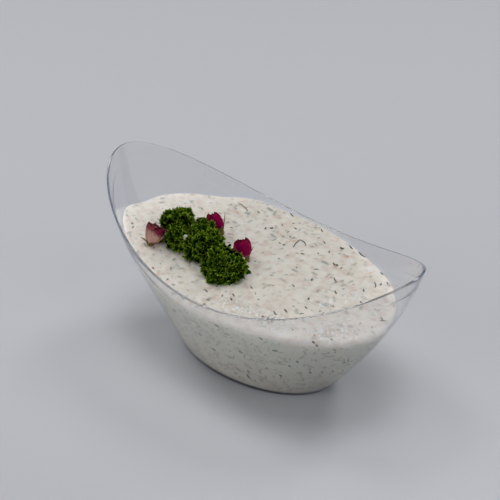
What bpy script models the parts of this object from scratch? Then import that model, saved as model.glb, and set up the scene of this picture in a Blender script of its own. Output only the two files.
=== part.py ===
"""Tzatziki in a clear boat-shaped serving bowl, garnished with curly parsley and dried rosebuds.

The bowl stands on Z = 0 with its length along X and its width along Y. Its wall is a thin
shell between elliptic sections, trimmed by a rim that dips at the middle and rises to both
ends. The dip fills it to an uneven, spooned level. Three sprigs of parsley and three
rosebuds lie in the hollows that they press into the dip.
"""

import math

import bmesh
import bpy
from mathutils import Matrix, Vector, noise

# The bowl, in metres
HULL_HEIGHT = 0.1020
RIM_LOW = 0.0655
HALF_LENGTH = 0.1150
END_HANDLES = (0.0562, 0.0844, 0.1042, 0.1150)
SIDE_HANDLES = (0.0350, 0.0429, 0.0677, 0.0606)
WALL = 0.0014
HEEL = 0.0012
TUCK = 0.0006
TUCK_HEIGHT = 0.0070
LEDGE_DROP = 0.0110
LEDGE_STEP = 0.0003

# The dip: its level at the wall every 30 degrees round from +X, and how far its edge rolls over
EDGE_LEVELS = (
    0.0622, 0.0630, 0.0628, 0.0652, 0.0674, 0.0667,
    0.0670, 0.0675, 0.0602, 0.0590, 0.0608, 0.0608,
)
EDGE_ROLLS = (
    0.0028, 0.0020, 0.0012, 0.0010, 0.0010, 0.0010,
    0.0015, 0.0030, 0.0034, 0.0030, 0.0030, 0.0030,
)
ROLL_WIDTH = 1.2
MIDDLE_LEVEL = 0.0632
SWELL_HEIGHT = 0.0012
SWELL_SPAN = 0.026

# Clearances and hollows
GAP = 0.0004
SINK = 0.0015

# The uneven outline of the sprigs, and the shape and turn of the rosebuds' petals
SPRIG_LUMPS = 0.16
SPRIG_LUMPS_EACH_WAY = 2.6
SPRIG_SQUARENESS = 3
BUD_TAPER = 0.22
PETALS = 5
PETAL_DEPTH = 0.05
PETAL_TWIST = 3.0

# Mesh fineness
AROUND = 50
WALL_RINGS = 7
RING_SPREAD = 1.35
LEDGE_RINGS = (0.06, 0.5, 1.0)
TOP_RINGS = (0.985, 0.965, 0.93, 0.84, 0.72, 0.60, 0.48, 0.36, 0.24, 0.12)
SPRIG_SEGMENTS, SPRIG_RINGS = 26, 13
BUD_SEGMENTS, BUD_RINGS = 20, 12

# Sprigs: place on the dip, length, width and height, and the turn of the length from +X
SPRIGS = {
    "parsley_left": ((-0.0545, -0.0125), (0.031, 0.0230, 0.0155), 133.0),
    "parsley_middle": ((-0.0360, -0.0095), (0.032, 0.0235, 0.0145), 128.0),
    "parsley_right": ((-0.0120, -0.0168), (0.032, 0.0265, 0.0115), 140.0),
}

# Rosebuds: place on the dip, length and diameter, how far the bud leans over and towards where
ROSEBUDS = {
    "rosebud_left": ((-0.0590, -0.0258), (0.0130, 0.0125), 25.0, 70.0),
    "rosebud_back": ((-0.0405, 0.0072), (0.0140, 0.0100), 29.0, 194.0),
    "rosebud_right": ((-0.0100, -0.0024), (0.0125, 0.0115), 20.0, 180.0),
}


def bezier(handles, share):
    """The value of a cubic curve with four evenly spaced handles at a share of its height."""
    rest = 1.0 - share
    weights = (rest**3, 3 * rest**2 * share, 3 * rest * share**2, share**3)
    return sum(w * h for w, h in zip(weights, handles))


def slope(handles, share):
    """How fast that curve grows with height."""
    rest = 1.0 - share
    weights = (rest**2, 2 * rest * share, share**2)
    steps = [b - a for a, b in zip(handles, handles[1:])]
    return 3 * sum(w * s for w, s in zip(weights, steps)) / HULL_HEIGHT


def hull(angle, height, inset=0.0):
    """A point of the hull's outer face, which tucks in near its foot, moved in by the inset."""
    share = height / HULL_HEIGHT
    along, across = bezier(END_HANDLES, share), bezier(SIDE_HANDLES, share)
    c, s = math.cos(angle), math.sin(angle)
    flare = across * slope(END_HANDLES, share) * c * c + along * slope(SIDE_HANDLES, share) * s * s
    normal = Vector((across * c, along * s, -flare)).normalized()
    tuck = TUCK * max(1.0 - height / TUCK_HEIGHT, 0.0) ** 2
    return Vector((along * c, across * s, height)) - (inset + tuck) * normal


def rim_level(angle):
    """The height at which the saddle-shaped rim trims the hull at this angle."""
    low, high = RIM_LOW, HULL_HEIGHT
    for _ in range(40):
        middle = (low + high) / 2
        reach = bezier(END_HANDLES, middle / HULL_HEIGHT) * math.cos(angle) / HALF_LENGTH
        if middle < RIM_LOW + (HULL_HEIGHT - RIM_LOW) * reach * reach:
            low = middle
        else:
            high = middle
    return (low + high) / 2


def inside(angle, level, inset):
    """The point at this level on the hull's surface moved in by the inset."""
    height = level
    for _ in range(8):
        height += level - hull(angle, height, inset).z
    return hull(angle, height, inset)


def round_the_edge(values, angle):
    """A smooth closed curve through values spaced evenly round the bowl."""
    station = (angle / math.tau) % 1.0 * len(values)
    first = int(station)
    t = station - first
    a, b, c, d = (values[(first + k) % len(values)] for k in (-1, 0, 1, 2))
    return b + t * ((c - a) + t * ((2 * a - 5 * b + 4 * c - d) + t * (3 * (b - c) + d - a))) / 2


def swell(x, y):
    """The low, broad unevenness that the spoon left."""
    here = Vector((x / SWELL_SPAN, y / SWELL_SPAN, 4.3))
    return SWELL_HEIGHT * noise.noise(here)


def dip_level(x, y):
    """The height of the dip's surface, from its level at the middle to that at the wall."""
    share = MIDDLE_LEVEL / HULL_HEIGHT
    u, v = x / bezier(END_HANDLES, share), y / bezier(SIDE_HANDLES, share)
    reach = min(math.hypot(u, v), 1.0)
    edge = round_the_edge(EDGE_LEVELS, math.atan2(v, u))
    return MIDDLE_LEVEL + (edge - MIDDLE_LEVEL) * reach**1.5 + swell(x, y) * (1 - reach**4)


def angles():
    """The angles of the points in one ring round the bowl."""
    return [math.tau * k / AROUND for k in range(AROUND)]


def loft(rings, cap_last):
    """A skin through rings of points, from a capped first ring to a last one, capped or open."""
    bm = bmesh.new()
    loops = [[bm.verts.new(point) for point in ring] for ring in rings]
    for lower, upper in zip(loops, loops[1:]):
        for k in range(len(lower)):
            after = (k + 1) % len(lower)
            bm.faces.new((lower[k], lower[after], upper[after], upper[k]))
    bm.faces.new(reversed(loops[0]))
    if cap_last:
        last = bm.faces.new(loops[-1])
        bmesh.ops.poke(bm, faces=[last])
    return bm


def piece(name, bm, collection):
    """An object made from a mesh in the making, shaded smooth between its sharp edges."""
    bmesh.ops.triangulate(bm, faces=bm.faces, quad_method="FIXED")
    mesh = bpy.data.meshes.new(name)
    bm.to_mesh(mesh)
    bm.free()
    mesh.shade_smooth()
    mesh.set_sharp_from_angle(angle=math.radians(40))
    made = bpy.data.objects.new(name, mesh)
    collection.objects.link(made)
    return made


def paint(target, color, roughness, transmission=0.0, ior=1.45):
    """Gives a piece its own material."""
    material = bpy.data.materials.new(target.name)
    material.use_nodes = True
    shader = material.node_tree.nodes["Principled BSDF"]
    shader.inputs["Base Color"].default_value = (*color, 1.0)
    shader.inputs["Roughness"].default_value = roughness
    shader.inputs["Metallic"].default_value = 0.0
    shader.inputs["Transmission Weight"].default_value = transmission
    shader.inputs["IOR"].default_value = ior
    target.data.materials.append(material)


def make_bowl():
    """The clear bowl: a flat base with an eased heel, and a wall with a fine ledge below its rim."""
    ledges = [rim_level(a) - LEDGE_DROP for a in angles()]
    foot = [hull(a, 0.0, HEEL) for a in angles()]
    rings = [[Vector((point.x, point.y, 0.0)) for point in foot]]
    for k in range(WALL_RINGS + 1):
        share = (k / WALL_RINGS) ** RING_SPREAD
        step = LEDGE_STEP if k == WALL_RINGS else 0.0
        rings.append([hull(a, HEEL + share * (top - HEEL), step) for a, top in zip(angles(), ledges)])
    for share in LEDGE_RINGS:
        rings.append([hull(a, top + share * LEDGE_DROP) for a, top in zip(angles(), ledges)])
    bowl = piece("bowl", loft(rings, False), dish)
    paint(bowl, (0.95, 0.97, 1.0), 0.04, 1.0, 1.57)
    shell = bowl.modifiers.new("wall", "SOLIDIFY")
    shell.thickness = WALL
    shell.offset = -1.0
    shell.use_even_offset = True


def make_dip():
    """The dip: it fills the bowl from its base to an edge that rolls over onto a spooned top."""
    inset = WALL + LEDGE_STEP + GAP
    edges = [round_the_edge(EDGE_LEVELS, a) for a in angles()]
    rolls = [round_the_edge(EDGE_ROLLS, a) for a in angles()]
    rings = []
    for k in range(WALL_RINGS):
        share = (k / (WALL_RINGS - 1)) ** RING_SPREAD
        contacts = [inset + share * (edge - roll - inset) for edge, roll in zip(edges, rolls)]
        rings.append([inside(a, level, inset) for a, level in zip(angles(), contacts)])
    contact = rings[-1]
    for reach in TOP_RINGS:
        ring = []
        for point, roll in zip(contact, rolls):
            x, y = point.x * reach, point.y * reach
            inward = min((1 - reach) * math.hypot(point.x, point.y) / (ROLL_WIDTH * roll), 1.0)
            drop = roll * (1 - math.sqrt(1 - (1 - inward) ** 2))
            ring.append(Vector((x, y, dip_level(x, y) - drop)))
        rings.append(ring)
    dip = piece("dip", loft(rings, True), dish)
    paint(dip, (0.75, 0.73, 0.66), 0.45)
    return dip


def sprig_mesh(place, size, turn, grow):
    """A tuft of curled parsley out to its uneven outline, on the dip and a little sunk in it."""
    half_length, half_width, height = size[0] / 2 + grow, size[1] / 2 + grow, size[2] + grow
    seed = Vector((place[0], place[1], 0.0)) * 900
    spin = Matrix.Rotation(math.radians(turn), 3, "Z")
    bm = bmesh.new()
    bmesh.ops.create_uvsphere(bm, u_segments=SPRIG_SEGMENTS, v_segments=SPRIG_RINGS, radius=1.0)
    for vertex in bm.verts:
        u = vertex.co.copy()
        outward = Vector((u.x, u.y, max(u.z, 0.0))).normalized()
        lumps = 1.0 + SPRIG_LUMPS * noise.noise(outward * SPRIG_LUMPS_EACH_WAY + seed)
        fullness = sum(abs(part) ** SPRIG_SQUARENESS for part in u) ** (-1 / SPRIG_SQUARENESS)
        u *= lumps * fullness
        flat = spin @ Vector((u.x * half_length, u.y * half_width, 0.0))
        rise = u.z * height if u.z > 0.01 else u.z * SINK - grow
        x, y = place[0] + flat.x, place[1] + flat.y
        vertex.co = Vector((x, y, dip_level(x, y) + rise))
    return bm


def bud_mesh(place, size, lean, towards, grow):
    """A dried rosebud: a swelling cup of petals that wind round to a closed tip."""
    length, diameter = size
    tilt = Matrix.Rotation(math.radians(towards), 3, "Z") @ Matrix.Rotation(math.radians(lean), 3, "Y")
    bm = bmesh.new()
    bmesh.ops.create_uvsphere(bm, u_segments=BUD_SEGMENTS, v_segments=BUD_RINGS, radius=1.0)
    for vertex in bm.verts:
        u = vertex.co.copy()
        wind = math.atan2(u.y, u.x) * PETALS + u.z * PETAL_TWIST
        swelling = (1.0 - BUD_TAPER * u.z) * (1.0 + PETAL_DEPTH * math.cos(wind))
        vertex.co = tilt @ Vector((u.x * swelling, u.y * swelling, u.z * length / diameter)) * diameter / 2
    lowest = min(vertex.co.z for vertex in bm.verts)
    bmesh.ops.scale(bm, verts=bm.verts, vec=Vector((1, 1, 1)) * (1 + 2 * grow / diameter))
    base = Vector((place[0], place[1], dip_level(*place) - SINK - lowest))
    bmesh.ops.translate(bm, verts=bm.verts, vec=base)
    return bm


def make_cutter(name, bm):
    """A fatter copy of a piece, which cuts the room for it out of its neighbours."""
    cutter = piece(name, bm, cutters)
    cutter.hide_render = True
    cutter.display_type = "WIRE"
    return cutter


def press_into(target, hollows):
    """Cuts the room for these neighbours out of the target, with a clearance all round."""
    neighbours = bpy.data.collections.new(f"{target.name}_neighbours")
    cutters.children.link(neighbours)
    for hollow in hollows:
        neighbours.objects.link(hollow)
    cut = target.modifiers.new("hollows", "BOOLEAN")
    cut.operation = "DIFFERENCE"
    cut.solver = "EXACT"
    cut.operand_type = "COLLECTION"
    cut.collection = neighbours
    cut.use_self = True


def make_garnish(dip):
    """The parsley and the rosebuds, each with its hollow in the dip and in what lies beside it."""
    buds = []
    for name, shape in ROSEBUDS.items():
        bud = piece(name, bud_mesh(*shape, 0.0), dish)
        paint(bud, (0.35, 0.01, 0.10), 0.6)
        buds.append(make_cutter(f"{name}_hollow", bud_mesh(*shape, GAP)))
    hollows = []
    for name, shape in SPRIGS.items():
        sprig = piece(name, sprig_mesh(*shape, 0.0), dish)
        paint(sprig, (0.04, 0.12, 0.015), 0.6)
        press_into(sprig, buds + hollows)
        hollows.append(make_cutter(f"{name}_hollow", sprig_mesh(*shape, GAP)))
    press_into(dip, buds + hollows)


for leftover in list(bpy.data.objects):
    bpy.data.objects.remove(leftover)
dish = bpy.data.collections.new("tzatziki_dip")
cutters = bpy.data.collections.new("cutters")
for collection in (dish, cutters):
    bpy.context.scene.collection.children.link(collection)
make_bowl()
make_garnish(make_dip())
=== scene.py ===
# %% [markdown]
# # Tzatziki in a clear boat bowl
#
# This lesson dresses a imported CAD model. The bowl is one thin shell of clear plastic, the dip
# is thick yoghurt full of chopped dill, and on top lie three sprigs of curly parsley and three
# dried rosebuds. The CAD solids give every piece its place and size. Each one is then replaced
# by a finer piece: lofts for the bowl and the dip, Geometry Nodes for whatever is strewn in
# great numbers, and small petals and leaves shaped by formulas.

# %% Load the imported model
import math
import random

import bmesh
import bpy
import numpy as np
from mathutils import Matrix, Vector, kdtree, noise
from mathutils.bvhtree import BVHTree


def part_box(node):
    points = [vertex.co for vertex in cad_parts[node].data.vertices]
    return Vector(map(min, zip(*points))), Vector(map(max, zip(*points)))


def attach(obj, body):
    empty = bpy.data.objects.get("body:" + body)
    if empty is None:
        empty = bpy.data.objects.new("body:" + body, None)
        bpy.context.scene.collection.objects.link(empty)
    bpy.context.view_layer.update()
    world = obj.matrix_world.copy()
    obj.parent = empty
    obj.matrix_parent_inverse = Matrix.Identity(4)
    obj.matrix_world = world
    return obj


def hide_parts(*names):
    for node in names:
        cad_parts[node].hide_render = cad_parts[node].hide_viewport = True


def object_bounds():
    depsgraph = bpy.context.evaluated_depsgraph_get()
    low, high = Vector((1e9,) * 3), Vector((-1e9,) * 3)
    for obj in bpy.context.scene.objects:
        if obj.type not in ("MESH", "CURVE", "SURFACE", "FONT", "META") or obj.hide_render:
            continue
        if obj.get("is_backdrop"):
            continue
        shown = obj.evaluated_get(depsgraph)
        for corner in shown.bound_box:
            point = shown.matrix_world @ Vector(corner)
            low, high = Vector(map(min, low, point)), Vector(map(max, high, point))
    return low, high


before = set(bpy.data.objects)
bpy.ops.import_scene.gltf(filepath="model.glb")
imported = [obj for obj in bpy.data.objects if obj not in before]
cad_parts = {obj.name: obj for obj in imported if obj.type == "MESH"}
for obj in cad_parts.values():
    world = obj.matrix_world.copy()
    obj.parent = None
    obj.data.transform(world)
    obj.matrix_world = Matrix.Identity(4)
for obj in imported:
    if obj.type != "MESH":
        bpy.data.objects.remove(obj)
cad_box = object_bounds()
MM = 0.001
bowl_low, bowl_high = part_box("bowl")
print("CAD nodes:", ", ".join(sorted(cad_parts)))
print("bowl, mm:", [round(side / MM, 1) for side in bowl_high - bowl_low])

# %% [markdown]
# ## The camera
#
# The camera stands a good arm's length away, in front of the bowl's long side and towards its
# far end, and looks down at a slant. Its three axes are worked out from an azimuth and an
# elevation, because the same two angles then also say which way is "left" and "behind" for
# whoever places the lights. A long lens keeps the bowl's sides from spreading apart.

# %% Camera
AZIMUTH = math.radians(42.66)
ELEVATION = math.radians(31.98)
FIELD_OF_VIEW = math.radians(17.93)
DISTANCE = 0.9753
AIM_RIGHT, AIM_UP = -0.0049, 0.0619

to_right = Vector((math.cos(AZIMUTH), math.sin(AZIMUTH), 0.0))
flat_back = Vector((math.sin(AZIMUTH), -math.cos(AZIMUTH), 0.0))
to_camera = flat_back * math.cos(ELEVATION) + Vector((0.0, 0.0, math.sin(ELEVATION)))
to_top = to_camera.cross(to_right)

camera = bpy.data.objects.new("camera", bpy.data.cameras.new("camera"))
camera.data.angle = FIELD_OF_VIEW
turned = Matrix((to_right, to_top, to_camera)).transposed().to_4x4()
aim = to_right * AIM_RIGHT + to_top * AIM_UP
camera.matrix_world = Matrix.Translation(aim + to_camera * DISTANCE) @ turned
bpy.context.scene.collection.objects.link(camera)
bpy.context.scene.camera = camera
print("camera at", [round(part, 3) for part in camera.location])

# %% [markdown]
# ## Small helpers
#
# Everything below is made from the same few moves: add a node and feed its inputs, turn arrays
# of points into a mesh, and hand a finished piece over in place of its CAD nodes. They are written once here.
# `feed` takes either another node's socket, which it links, or a plain value, which it sets.

# %% Helpers for nodes
def feed(tree, socket, value):
    """Links another socket to this one, or sets a plain value on it."""
    if isinstance(value, bpy.types.NodeSocket):
        tree.links.new(value, socket)
    else:
        socket.default_value = value


def add(tree, kind, feeds=None, **settings):
    """A node with its settings made and its inputs fed, by the names of its inputs."""
    made = tree.nodes.new(kind)
    for name, value in settings.items():
        setattr(made, name, value)
    for name, value in (feeds or {}).items():
        socket = next(s for s in made.inputs if s.name == name and s.enabled)
        feed(tree, socket, value)
    return made


def given(made, name=None):
    """A node's first live output, or the live one with this name."""
    return next(s for s in made.outputs if s.enabled and name in (None, s.name))


def new_material(name):
    """A material with a Principled shader, and the shader to feed."""
    material = bpy.data.materials.new(name)
    material.use_nodes = True
    return material, material.node_tree, material.node_tree.nodes["Principled BSDF"]


# %% Helpers for meshes and pieces
def mesh_object(name, vertices, faces):
    """A smooth-shaded mesh object made from points and faces, linked to the scene."""
    mesh = bpy.data.meshes.new(name)
    mesh.from_pydata([tuple(v) for v in vertices], [], faces)
    mesh.shade_smooth()
    made = bpy.data.objects.new(name, mesh)
    bpy.context.scene.collection.objects.link(made)
    return made


def evaluated_mesh(target):
    """The target's mesh with its modifiers worked in."""
    depsgraph = bpy.context.evaluated_depsgraph_get()
    return bpy.data.meshes.new_from_object(target.evaluated_get(depsgraph))


def give_points(target, name, values):
    """Stores one number for each point of a mesh, for its material to read."""
    attribute = target.data.attributes.new(name, "FLOAT", "POINT")
    attribute.data.foreach_set("value", np.asarray(values, np.float32))


def hand_over(target, material, nodes=()):
    """Gives a finished piece its material, and lets it ride on the dish in place of CAD nodes."""
    if material is not None:
        target.data.materials.clear()
        target.data.materials.append(material)
    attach(target, "root")
    if nodes:
        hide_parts(*nodes)
    target.data.calc_loop_triangles()
    print(f"{target.name}: {len(target.data.loop_triangles)} triangles")


# %% [markdown]
# ## The hull's formula
#
# The bowl is moulded as an ellipse at every height. The half length and the half width each
# follow one cubic curve with four evenly spaced handles, so eight numbers describe the whole
# hull, with its straight flaring ends and its sides that pull in a little towards the rim. The
# rim is a saddle: it is lowest at the middle of the long sides and rises with the square of
# the distance towards both ends. The functions work on arrays, a value for each point.

# %% Hull
HULL_HEIGHT = 102.0 * MM
RIM_LOW = 65.5 * MM
WALL = 1.4 * MM
HALF_LENGTH = (bowl_high.x - bowl_low.x) / 2
END_HANDLES = np.array((56.2, 84.4, 104.2, 115.0)) / 115.0 * HALF_LENGTH
SIDE_HANDLES = np.array((35.0, 42.9, 67.7, 60.6)) / 115.0 * HALF_LENGTH
TUCK, TUCK_HEIGHT = 0.6 * MM, 7.0 * MM


def bezier(handles, share):
    """A cubic curve's value at a share of its height."""
    rest = 1 - share
    a, b, c, d = handles
    return rest**3 * a + 3 * rest**2 * share * b + 3 * rest * share**2 * c + share**3 * d


def slope(handles, share):
    """How fast that curve grows with height."""
    rest = 1 - share
    a, b, c = np.diff(handles)
    return 3 * (rest**2 * a + 2 * rest * share * b + share**2 * c) / HULL_HEIGHT


def hull(angle, height, inset=0.0):
    """Points of the hull's outer face, which tucks in near its foot, moved in by the inset."""
    share = height / HULL_HEIGHT
    along, across = bezier(END_HANDLES, share), bezier(SIDE_HANDLES, share)
    c, s = np.cos(angle), np.sin(angle)
    flare = across * slope(END_HANDLES, share) * c * c + along * slope(SIDE_HANDLES, share) * s * s
    normal = np.stack([across * c, along * s, -flare + 0 * angle], -1)
    normal /= np.linalg.norm(normal, axis=-1, keepdims=True)
    place = np.stack([along * c, across * s, height + 0 * angle], -1)
    tuck = TUCK * np.clip(1 - height / TUCK_HEIGHT, 0, 1) ** 2
    return place - np.asarray(inset + tuck)[..., None] * normal


def rim_level(angle):
    """The height where the saddle-shaped rim cuts the hull."""
    low, high = 0 * angle + RIM_LOW, 0 * angle + HULL_HEIGHT
    for _ in range(40):
        middle = (low + high) / 2
        reach = bezier(END_HANDLES, middle / HULL_HEIGHT) * np.cos(angle) / HALF_LENGTH
        under = middle < RIM_LOW + (HULL_HEIGHT - RIM_LOW) * reach**2
        low, high = np.where(under, middle, low), np.where(under, high, middle)
    return (low + high) / 2


def inside(angle, level, inset):
    """The points at these levels on the hull's face moved in by the inset."""
    height = level
    for _ in range(8):
        height = height + level - hull(angle, height, inset)[..., 2]
    return hull(angle, height, inset)


print("rim at the middle and the ends, mm:", (rim_level(np.array([math.pi / 2, 0.0])) / MM).round(1))

# %% [markdown]
# ## The clear bowl
#
# The real bowl is injection moulded in one piece: a flat foot, a wall of even thickness, a fine
# stacking ledge a finger's breadth below the rim, and a rim rounded by hand-safe edges. It could
# be an open surface with Solidify, but refraction shows every kink, so both faces and the
# half-round rim are lofted here as one closed skin. Each ring of points is one height. The wall
# above the ledge is a hair thinner, and that step is what catches the light as a thin line.

# %% Bowl sizes
AROUND = 320
HEEL = 1.2 * MM
FLOOR_THICKNESS = 2.4 * MM
CORNER = 2.4 * MM
LEDGE_DROP = 11.0 * MM
LEDGE_STEP = 0.10 * MM
RIM_ROUND = 0.35 * MM

ring_angles = np.linspace(0, 2 * math.pi, AROUND, endpoint=False)
rims = rim_level(ring_angles) - RIM_ROUND
ledges = rims - LEDGE_DROP
print("rim thickness, mm:", round((WALL - LEDGE_STEP) / MM, 2))


# %% Bowl mesh
def skin(rings, poles):
    """Points and faces of a closed skin through rings, with a pole at each end."""
    count = len(rings[0])
    points = np.concatenate([poles[0][None], *rings, poles[1][None]])
    here = np.arange(count)
    after = (here + 1) % count
    faces = [(0, 1 + b, 1 + a) for a, b in zip(here, after)]
    for ring in range(len(rings) - 1):
        low, up = 1 + ring * count, 1 + (ring + 1) * count
        faces += [(low + a, low + b, up + b, up + a) for a, b in zip(here, after)]
    last = 1 + (len(rings) - 1) * count
    top = len(points) - 1
    faces += [(last + a, last + b, top) for a, b in zip(here, after)]
    return points, faces


def rounded_corner(wall, floor):
    """Rings that turn from the foot of an inner wall into a level floor."""
    rings = []
    for turn in (0.2, 0.4, 0.6, 0.8, 1.0):
        ease, drop = 1 - math.cos(turn * math.pi / 2), math.sin(turn * math.pi / 2)
        flat = wall + (floor - wall) * ease
        rings.append(np.column_stack([flat[:, :2], wall[:, 2] + (floor - wall)[:, 2] * drop]))
    return rings


def outer_rings():
    """Rings from near the middle of the foot, round the heel and up the outer face."""
    foot = hull(ring_angles, HEEL)
    toe = hull(ring_angles, 0.0, HEEL)
    rings = [toe * (share, share, 0.0) for share in (0.3, 0.65, 0.9, 1.0)]
    for turn in (0.3, 0.6, 0.85, 1.0):
        ease, lift = math.sin(turn * math.pi / 2), 1 - math.cos(turn * math.pi / 2)
        flat = toe * (1 - ease) + foot * ease
        rings.append(np.column_stack([flat[:, :2], foot[:, 2] * lift]))
    for share in np.linspace(0, 1, 50)[1:]:
        rings.append(hull(ring_angles, HEEL + share * (ledges - HEEL)))
    for share, step in ((0.03, 0.15), (0.06, 0.5), (0.09, 0.85), (0.12, 1.0), (0.4, 1.0), (0.7, 1.0)):
        rings.append(hull(ring_angles, ledges + share * LEDGE_DROP, step * LEDGE_STEP))
    return rings


def rim_rings():
    """Rings over the flat-topped rim with its eased edges, from its outer to its inner side."""
    outer, inner = hull(ring_angles, rims, LEDGE_STEP), hull(ring_angles, rims, WALL)
    uphill = outer - hull(ring_angles, rims - MM, LEDGE_STEP)
    uphill /= np.linalg.norm(uphill, axis=1, keepdims=True)
    middle, half = (outer + inner) / 2, (outer - inner) / 2
    rings = []
    for turn in np.linspace(0, math.pi, 13):
        c, s = math.cos(turn), math.sin(turn)
        across, up = math.copysign(abs(c) ** 0.5, c), max(s, 0.0) ** 0.5
        rings.append(middle + half * across + uphill * RIM_ROUND * up)
    return rings


def inner_rings():
    """Rings down the inner face, round the corner and nearly to the middle of the floor."""
    lowest = FLOOR_THICKNESS + CORNER
    shares = np.linspace(1, 0, 60)[1:]
    rings = [inside(ring_angles, lowest + share * (rims - lowest), WALL) for share in shares]
    well = inside(ring_angles, 0 * ring_angles + FLOOR_THICKNESS, WALL + CORNER)
    well[:, 2] = FLOOR_THICKNESS
    rings += rounded_corner(rings[-1], well)
    return rings + [well * (share, share, 1) for share in (0.9, 0.65, 0.3)]


rings = outer_rings() + rim_rings() + inner_rings()
points, faces = skin(rings, (np.zeros(3), np.array((0, 0, FLOOR_THICKNESS))))
bowl = mesh_object("clear_bowl", points, faces)

# %% [markdown]
# ## Clear plastic
#
# Polystyrene is clearer than window glass and bends light a little more, so its index of
# refraction is 1.57. Light that only passes through to what lies behind would be lost in the
# shadow of a solid glass shader, so rays towards the lamps see a nearly clear stand-in instead,
# darker where the wall is met at a glancing angle, as a real bowl's soft shadow is. The mould
# leaves a slight waviness, which a broad and very low bump gives.

# %% Clear plastic material
STRAIGHT_SHARE = 0.1
clear, tree, shader = new_material("clear_plastic")
place = given(add(tree, "ShaderNodeTexCoord"), "Object")
waves = add(tree, "ShaderNodeTexNoise", {"Vector": place, "Scale": 38.0, "Detail": 1.0})
wavy = add(tree, "ShaderNodeBump", {"Height": given(waves), "Strength": 0.25, "Distance": 0.0006})
haze = add(tree, "ShaderNodeTexNoise", {"Vector": place, "Scale": 260.0, "Detail": 3.0})
rough = add(tree, "ShaderNodeMapRange", {"Value": given(haze), "To Min": 0.0, "To Max": 0.035})
feed(tree, shader.inputs["Normal"], given(wavy))
feed(tree, shader.inputs["Roughness"], given(rough))
shader.inputs["Transmission Weight"].default_value = 1.0
shader.inputs["IOR"].default_value = 1.57
glancing = add(tree, "ShaderNodeLayerWeight", {"Blend": 0.35})
bluish = add(tree, "ShaderNodeValToRGB", {"Fac": given(glancing, "Facing")})
bluish.color_ramp.elements[0].color = (0.99, 0.992, 1.0, 1.0)
bluish.color_ramp.elements[0].position = 0.8
bluish.color_ramp.elements[1].color = (0.34, 0.45, 1.0, 1.0)
feed(tree, shader.inputs["Base Color"], given(bluish))
straight = add(tree, "ShaderNodeBsdfTransparent", {"Color": given(bluish)})
thin = add(tree, "ShaderNodeMixShader")
thin.inputs["Fac"].default_value = STRAIGHT_SHARE
tree.links.new(given(shader), thin.inputs[1])
tree.links.new(given(straight), thin.inputs[2])
dimmed = add(tree, "ShaderNodeValToRGB", {"Fac": given(glancing, "Facing")})
dimmed.color_ramp.elements[0].color = (0.985, 0.987, 0.99, 1.0)
dimmed.color_ramp.elements[1].color = (0.60, 0.62, 0.67, 1.0)
dimmed.color_ramp.elements[0].position = 0.75
passing = add(tree, "ShaderNodeBsdfTransparent", {"Color": given(dimmed)})
path = add(tree, "ShaderNodeLightPath")
choice = add(tree, "ShaderNodeMixShader", {"Fac": given(path, "Is Shadow Ray")})
tree.links.new(given(thin), choice.inputs[1])
tree.links.new(given(passing), choice.inputs[2])
tree.links.new(given(choice), tree.nodes["Material Output"].inputs["Surface"])
lengthwise = add(tree, "ShaderNodeVolumeAbsorption", {"Color": (0.46, 0.58, 1.0, 1.0), "Density": 15.0})
tree.links.new(given(lengthwise), tree.nodes["Material Output"].inputs["Volume"])
bpy.context.scene.cycles.max_bounces = 32
bpy.context.scene.cycles.transmission_bounces = 32
hand_over(bowl, clear, ["bowl"])

# %% [markdown]
# ## The shape of the dip
#
# The dip was spooned in and pushed down by hand. It touches the wall at a level that wanders
# round the bowl, and along the front it pulls away from the wall in a soft rounded shoulder.
# The level is given every 15 degrees and the size of that shoulder every 30, and each list is
# joined by a smooth closed curve. The top is a square grid bent into the ellipse, so its points lie evenly and a
# fine relief costs no more at the rim than in the middle. A grid of N cells has 4 N points on
# its edge, and the side carries on downwards from those same points.

# %% Dip levels
EDGE_LEVELS = (
    62.2, 62.8, 63.0, 62.8, 62.6, 63.4, 65.2, 65.4, 67.4, 65.6, 66.6, 67.2,
    67.0, 70.6, 69.0, 64.5, 60.2, 59.3, 59.0, 60.0, 60.8, 60.8, 60.8, 61.5,
)
EDGE_ROLLS = (2.8, 2.0, 1.2, 1.0, 1.0, 1.0, 1.0, 1.4, 3.4, 3.0, 3.0, 3.0)
MIDDLE_LEVEL = 63.2 * MM
SWELL_HEIGHT, SWELL_SPAN = 1.2 * MM, 26 * MM
ROLL_WIDTH = 1.2
DIP_INSET = WALL - 0.12 * MM


def round_the_edge(values, angle):
    """A smooth closed curve through values spaced evenly round the bowl, in metres."""
    values = np.array(values) * MM
    station = (angle / (2 * math.pi)) % 1.0 * len(values)
    first = station.astype(int)
    t = station - first
    a, b, c, d = (values[(first + k) % len(values)] for k in (-1, 0, 1, 2))
    return b + t * ((c - a) + t * ((2 * a - 5 * b + 4 * c - d) + t * (3 * (b - c) + d - a))) / 2


def bumps(x, y, span, seed, stretch=1.0, turn=0.0):
    """Smooth noise from -1 to 1 with features about span across, stretched along a direction."""
    c, s = math.cos(turn), math.sin(turn)
    along, across = (x * c + y * s) / (span * stretch), (y * c - x * s) / span
    return np.array([noise.noise(Vector((u, v, seed))) for u, v in zip(along, across)])


def dip_level(x, y):
    """The dip's level without its fine relief, close to that of its CAD solid."""
    share = MIDDLE_LEVEL / HULL_HEIGHT
    u, v = x / bezier(END_HANDLES, share), y / bezier(SIDE_HANDLES, share)
    reach = np.minimum(np.hypot(u, v), 1.0)
    edge = round_the_edge(EDGE_LEVELS, np.arctan2(v, u))
    swell = SWELL_HEIGHT * bumps(x, y, SWELL_SPAN, 4.3)
    return MIDDLE_LEVEL + (edge - MIDDLE_LEVEL) * reach**1.5 + swell * (1 - reach**4)


# %% Dip mesh
CELLS = 176
SIDE_RINGS = 46
SHOULDER = 0.955
SHOULDER_RINGS = 9

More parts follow.
